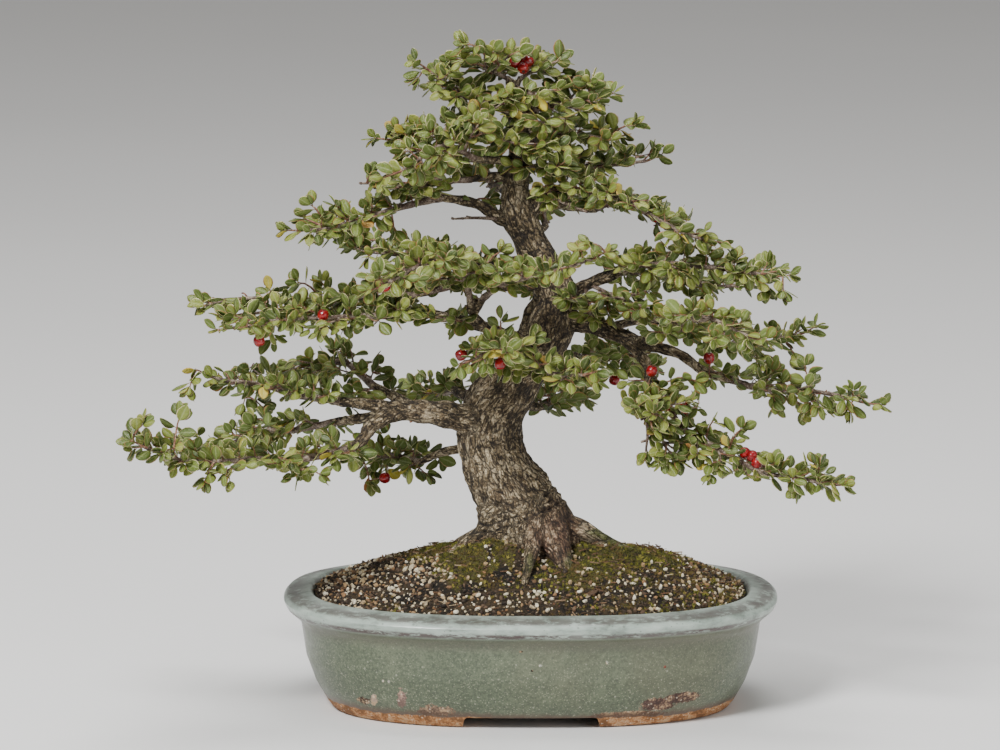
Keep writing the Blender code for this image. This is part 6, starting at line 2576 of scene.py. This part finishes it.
    def around(self, way: Vector, turn: float) -> Vector:
        """The direction square to a line at an angle round it."""
        side = UP.cross(way)
        side = side.normalized() if side.length > 0.1 else Vector((1.0, 0.0, 0.0))
        return side * math.cos(turn) + way.cross(side) * math.sin(turn)

    def leaf(self, root: Vector, aim: Vector, length: float, way: Vector, apart: float | None = None) -> None:
        """Set one leaf, unless another's middle is too near.

        Args:
            root: The foot of its stalk.
            aim: The direction that it points in.
            length: Its length.
            way: The direction of its twig; not used.
            apart: The least distance between its middle and another's, where it isn't the habit's.
        """
        aim = (aim.normalized() + UP * self.rng.uniform(-0.2, 0.2)).normalized()
        middle = root + aim * length * 0.6
        if not self.free(middle, apart or self.habit.apart):
            return
        outward = Vector((aim.x, aim.y, 0.0))
        away = Vector((root.x - TRUNK_AXIS_X, root.y, 0.0)).normalized()
        normal = UP * 0.62 + outward * 0.62 + away * 0.30 + random_way(self.rng) * 0.55
        matrix = placed(root, aim, normal, length)
        age = self.rng.random() if self.rng.random() < 0.05 else self.rng.random() * 0.3
        self.casting.strike(self.moulds.pick(self.rng), matrix, self.rng.random(), age)

    def free(self, middle: Vector, apart: float) -> bool:
        """Whether a place is clear of leaves and berries; if so it is taken."""
        cell = tuple(math.floor(value / 0.004) for value in middle)
        near = (
            self.seats.get((cell[0] + i, cell[1] + j, cell[2] + k), ())
            for i in (-1, 0, 1)
            for j in (-1, 0, 1)
            for k in (-1, 0, 1)
        )
        if any((other - middle).length < apart for group in near for other in group) or in_clearing(middle):
            return False
        for berry in self.berries:
            ahead = middle - berry
            if ahead.length < self.habit.berry_clear or (ahead.y < 0 and math.hypot(ahead.x, ahead.z) < 0.004):
                return False
        self.seats.setdefault(cell, []).append(middle.copy())
        return True

    def hang_berries(self) -> None:
        """Hang each berry from the nearest twig on a short stalk."""
        radius = 0.0033
        for berry in self.berries:
            root = self.nearest_joint(berry)
            hang = (berry - root).normalized()
            self.green.append(Run([root, root.lerp(berry, 0.5) + UP * 0.0006, berry - hang * radius * 0.8], [0.0004] * 3))
            mould = self.moulds.berry
            matrix = placed(berry, hang, Vector((1.0, 0.2, 0.1)), radius)
            finishes = np.full(len(mould.starts), 2, np.int32)
            fruit = Mould(mould.points, mould.corners, mould.starts, finishes, mould.smooth, mould.map)
            self.casting.strike(fruit, matrix, self.rng.random(), self.rng.random())


def grow_sprays() -> None:
    """Grow every spray of the plant."""
    moulds = LeafMoulds.made()
    for limb in LIMBS:
        if limb.leafy:
            berries = [Vector(place) for name, place in BERRIES if name == limb.name]
            Spray(limb, berries, moulds).build()


# Studio


@dataclass
class Studio:
    """A pale floor, soft lights and the camera at the photo's viewing angle."""

    camera_place: tuple[float, float, float] = (-0.0023, -3.0, 0.670)
    camera_pitch: float = 80.85
    lens: float = 194.1

    def build(self) -> None:
        """Set everything up round the finished model."""
        self.floor()
        self.light("key", (-1.1, -1.9, 2.1), 112.0, 0.7)
        self.light("fill", (1.8, -1.8, 0.9), 22.0, 1.4)
        self.light("top", (0.1, 0.3, 2.6), 44.0, 1.2)
        self.world()
        self.camera()

    def floor(self) -> None:
        """The plane that the pot stands on."""
        deselect_all()
        bpy.ops.mesh.primitive_plane_add(size=30.0, location=(0.0, 0.0, 0.0))
        floor = bpy.context.object
        floor.name = "floor"
        for vertex in floor.data.vertices:
            vertex.co.z = FLOOR_LEVEL
        dress(floor, FloorFinish().made())
        LOG.info("floor: laid")

    def light(self, name: str, place: tuple[float, float, float], power: float, size: float) -> None:
        """Place a soft light that faces the plant.

        Args:
            name: The light's name.
            place: Where it stands.
            power: Its power in watts.
            size: The side of its square.
        """
        lamp = bpy.data.lights.new(name, "AREA")
        lamp.energy = power
        lamp.size = size
        obj = bpy.data.objects.new(name, lamp)
        obj.location = place
        aim = Vector((0.0, 0.0, 0.18)) - Vector(place)
        obj.rotation_euler = aim.to_track_quat("-Z", "Y").to_euler()
        bpy.context.scene.collection.objects.link(obj)

    def world(self) -> None:
        """A soft, even surround."""
        world = bpy.data.worlds.new("surround")
        world.use_nodes = True
        background = world.node_tree.nodes["Background"]
        background.inputs["Color"].default_value = (1.0, 0.985, 0.96, 1.0)
        background.inputs["Strength"].default_value = 0.34
        bpy.context.scene.world = world

    def camera(self) -> None:
        """The camera, where the photo's one stood."""
        lens = bpy.data.cameras.new("camera")
        lens.lens = self.lens
        lens.sensor_width = 36.0
        lens.clip_end = 100.0
        obj = bpy.data.objects.new("camera", lens)
        obj.location = self.camera_place
        obj.rotation_euler = (math.radians(self.camera_pitch), 0.0, 0.0)
        bpy.context.scene.collection.objects.link(obj)
        bpy.context.scene.camera = obj


def main() -> None:
    """Build the model and its studio."""
    logging.basicConfig(level=logging.INFO, format="%(name)s %(message)s")
    noise.seed_set(NOISE_SEED)
    for obj in list(bpy.data.objects):
        bpy.data.objects.remove(obj, do_unlink=True)
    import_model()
    Pot().build()
    dress_meshes()
    SoilBed().build()
    GroundCover().build()
    Wood().build()
    grow_sprays()
    Studio().build()


if __name__ == "__main__":
    main()
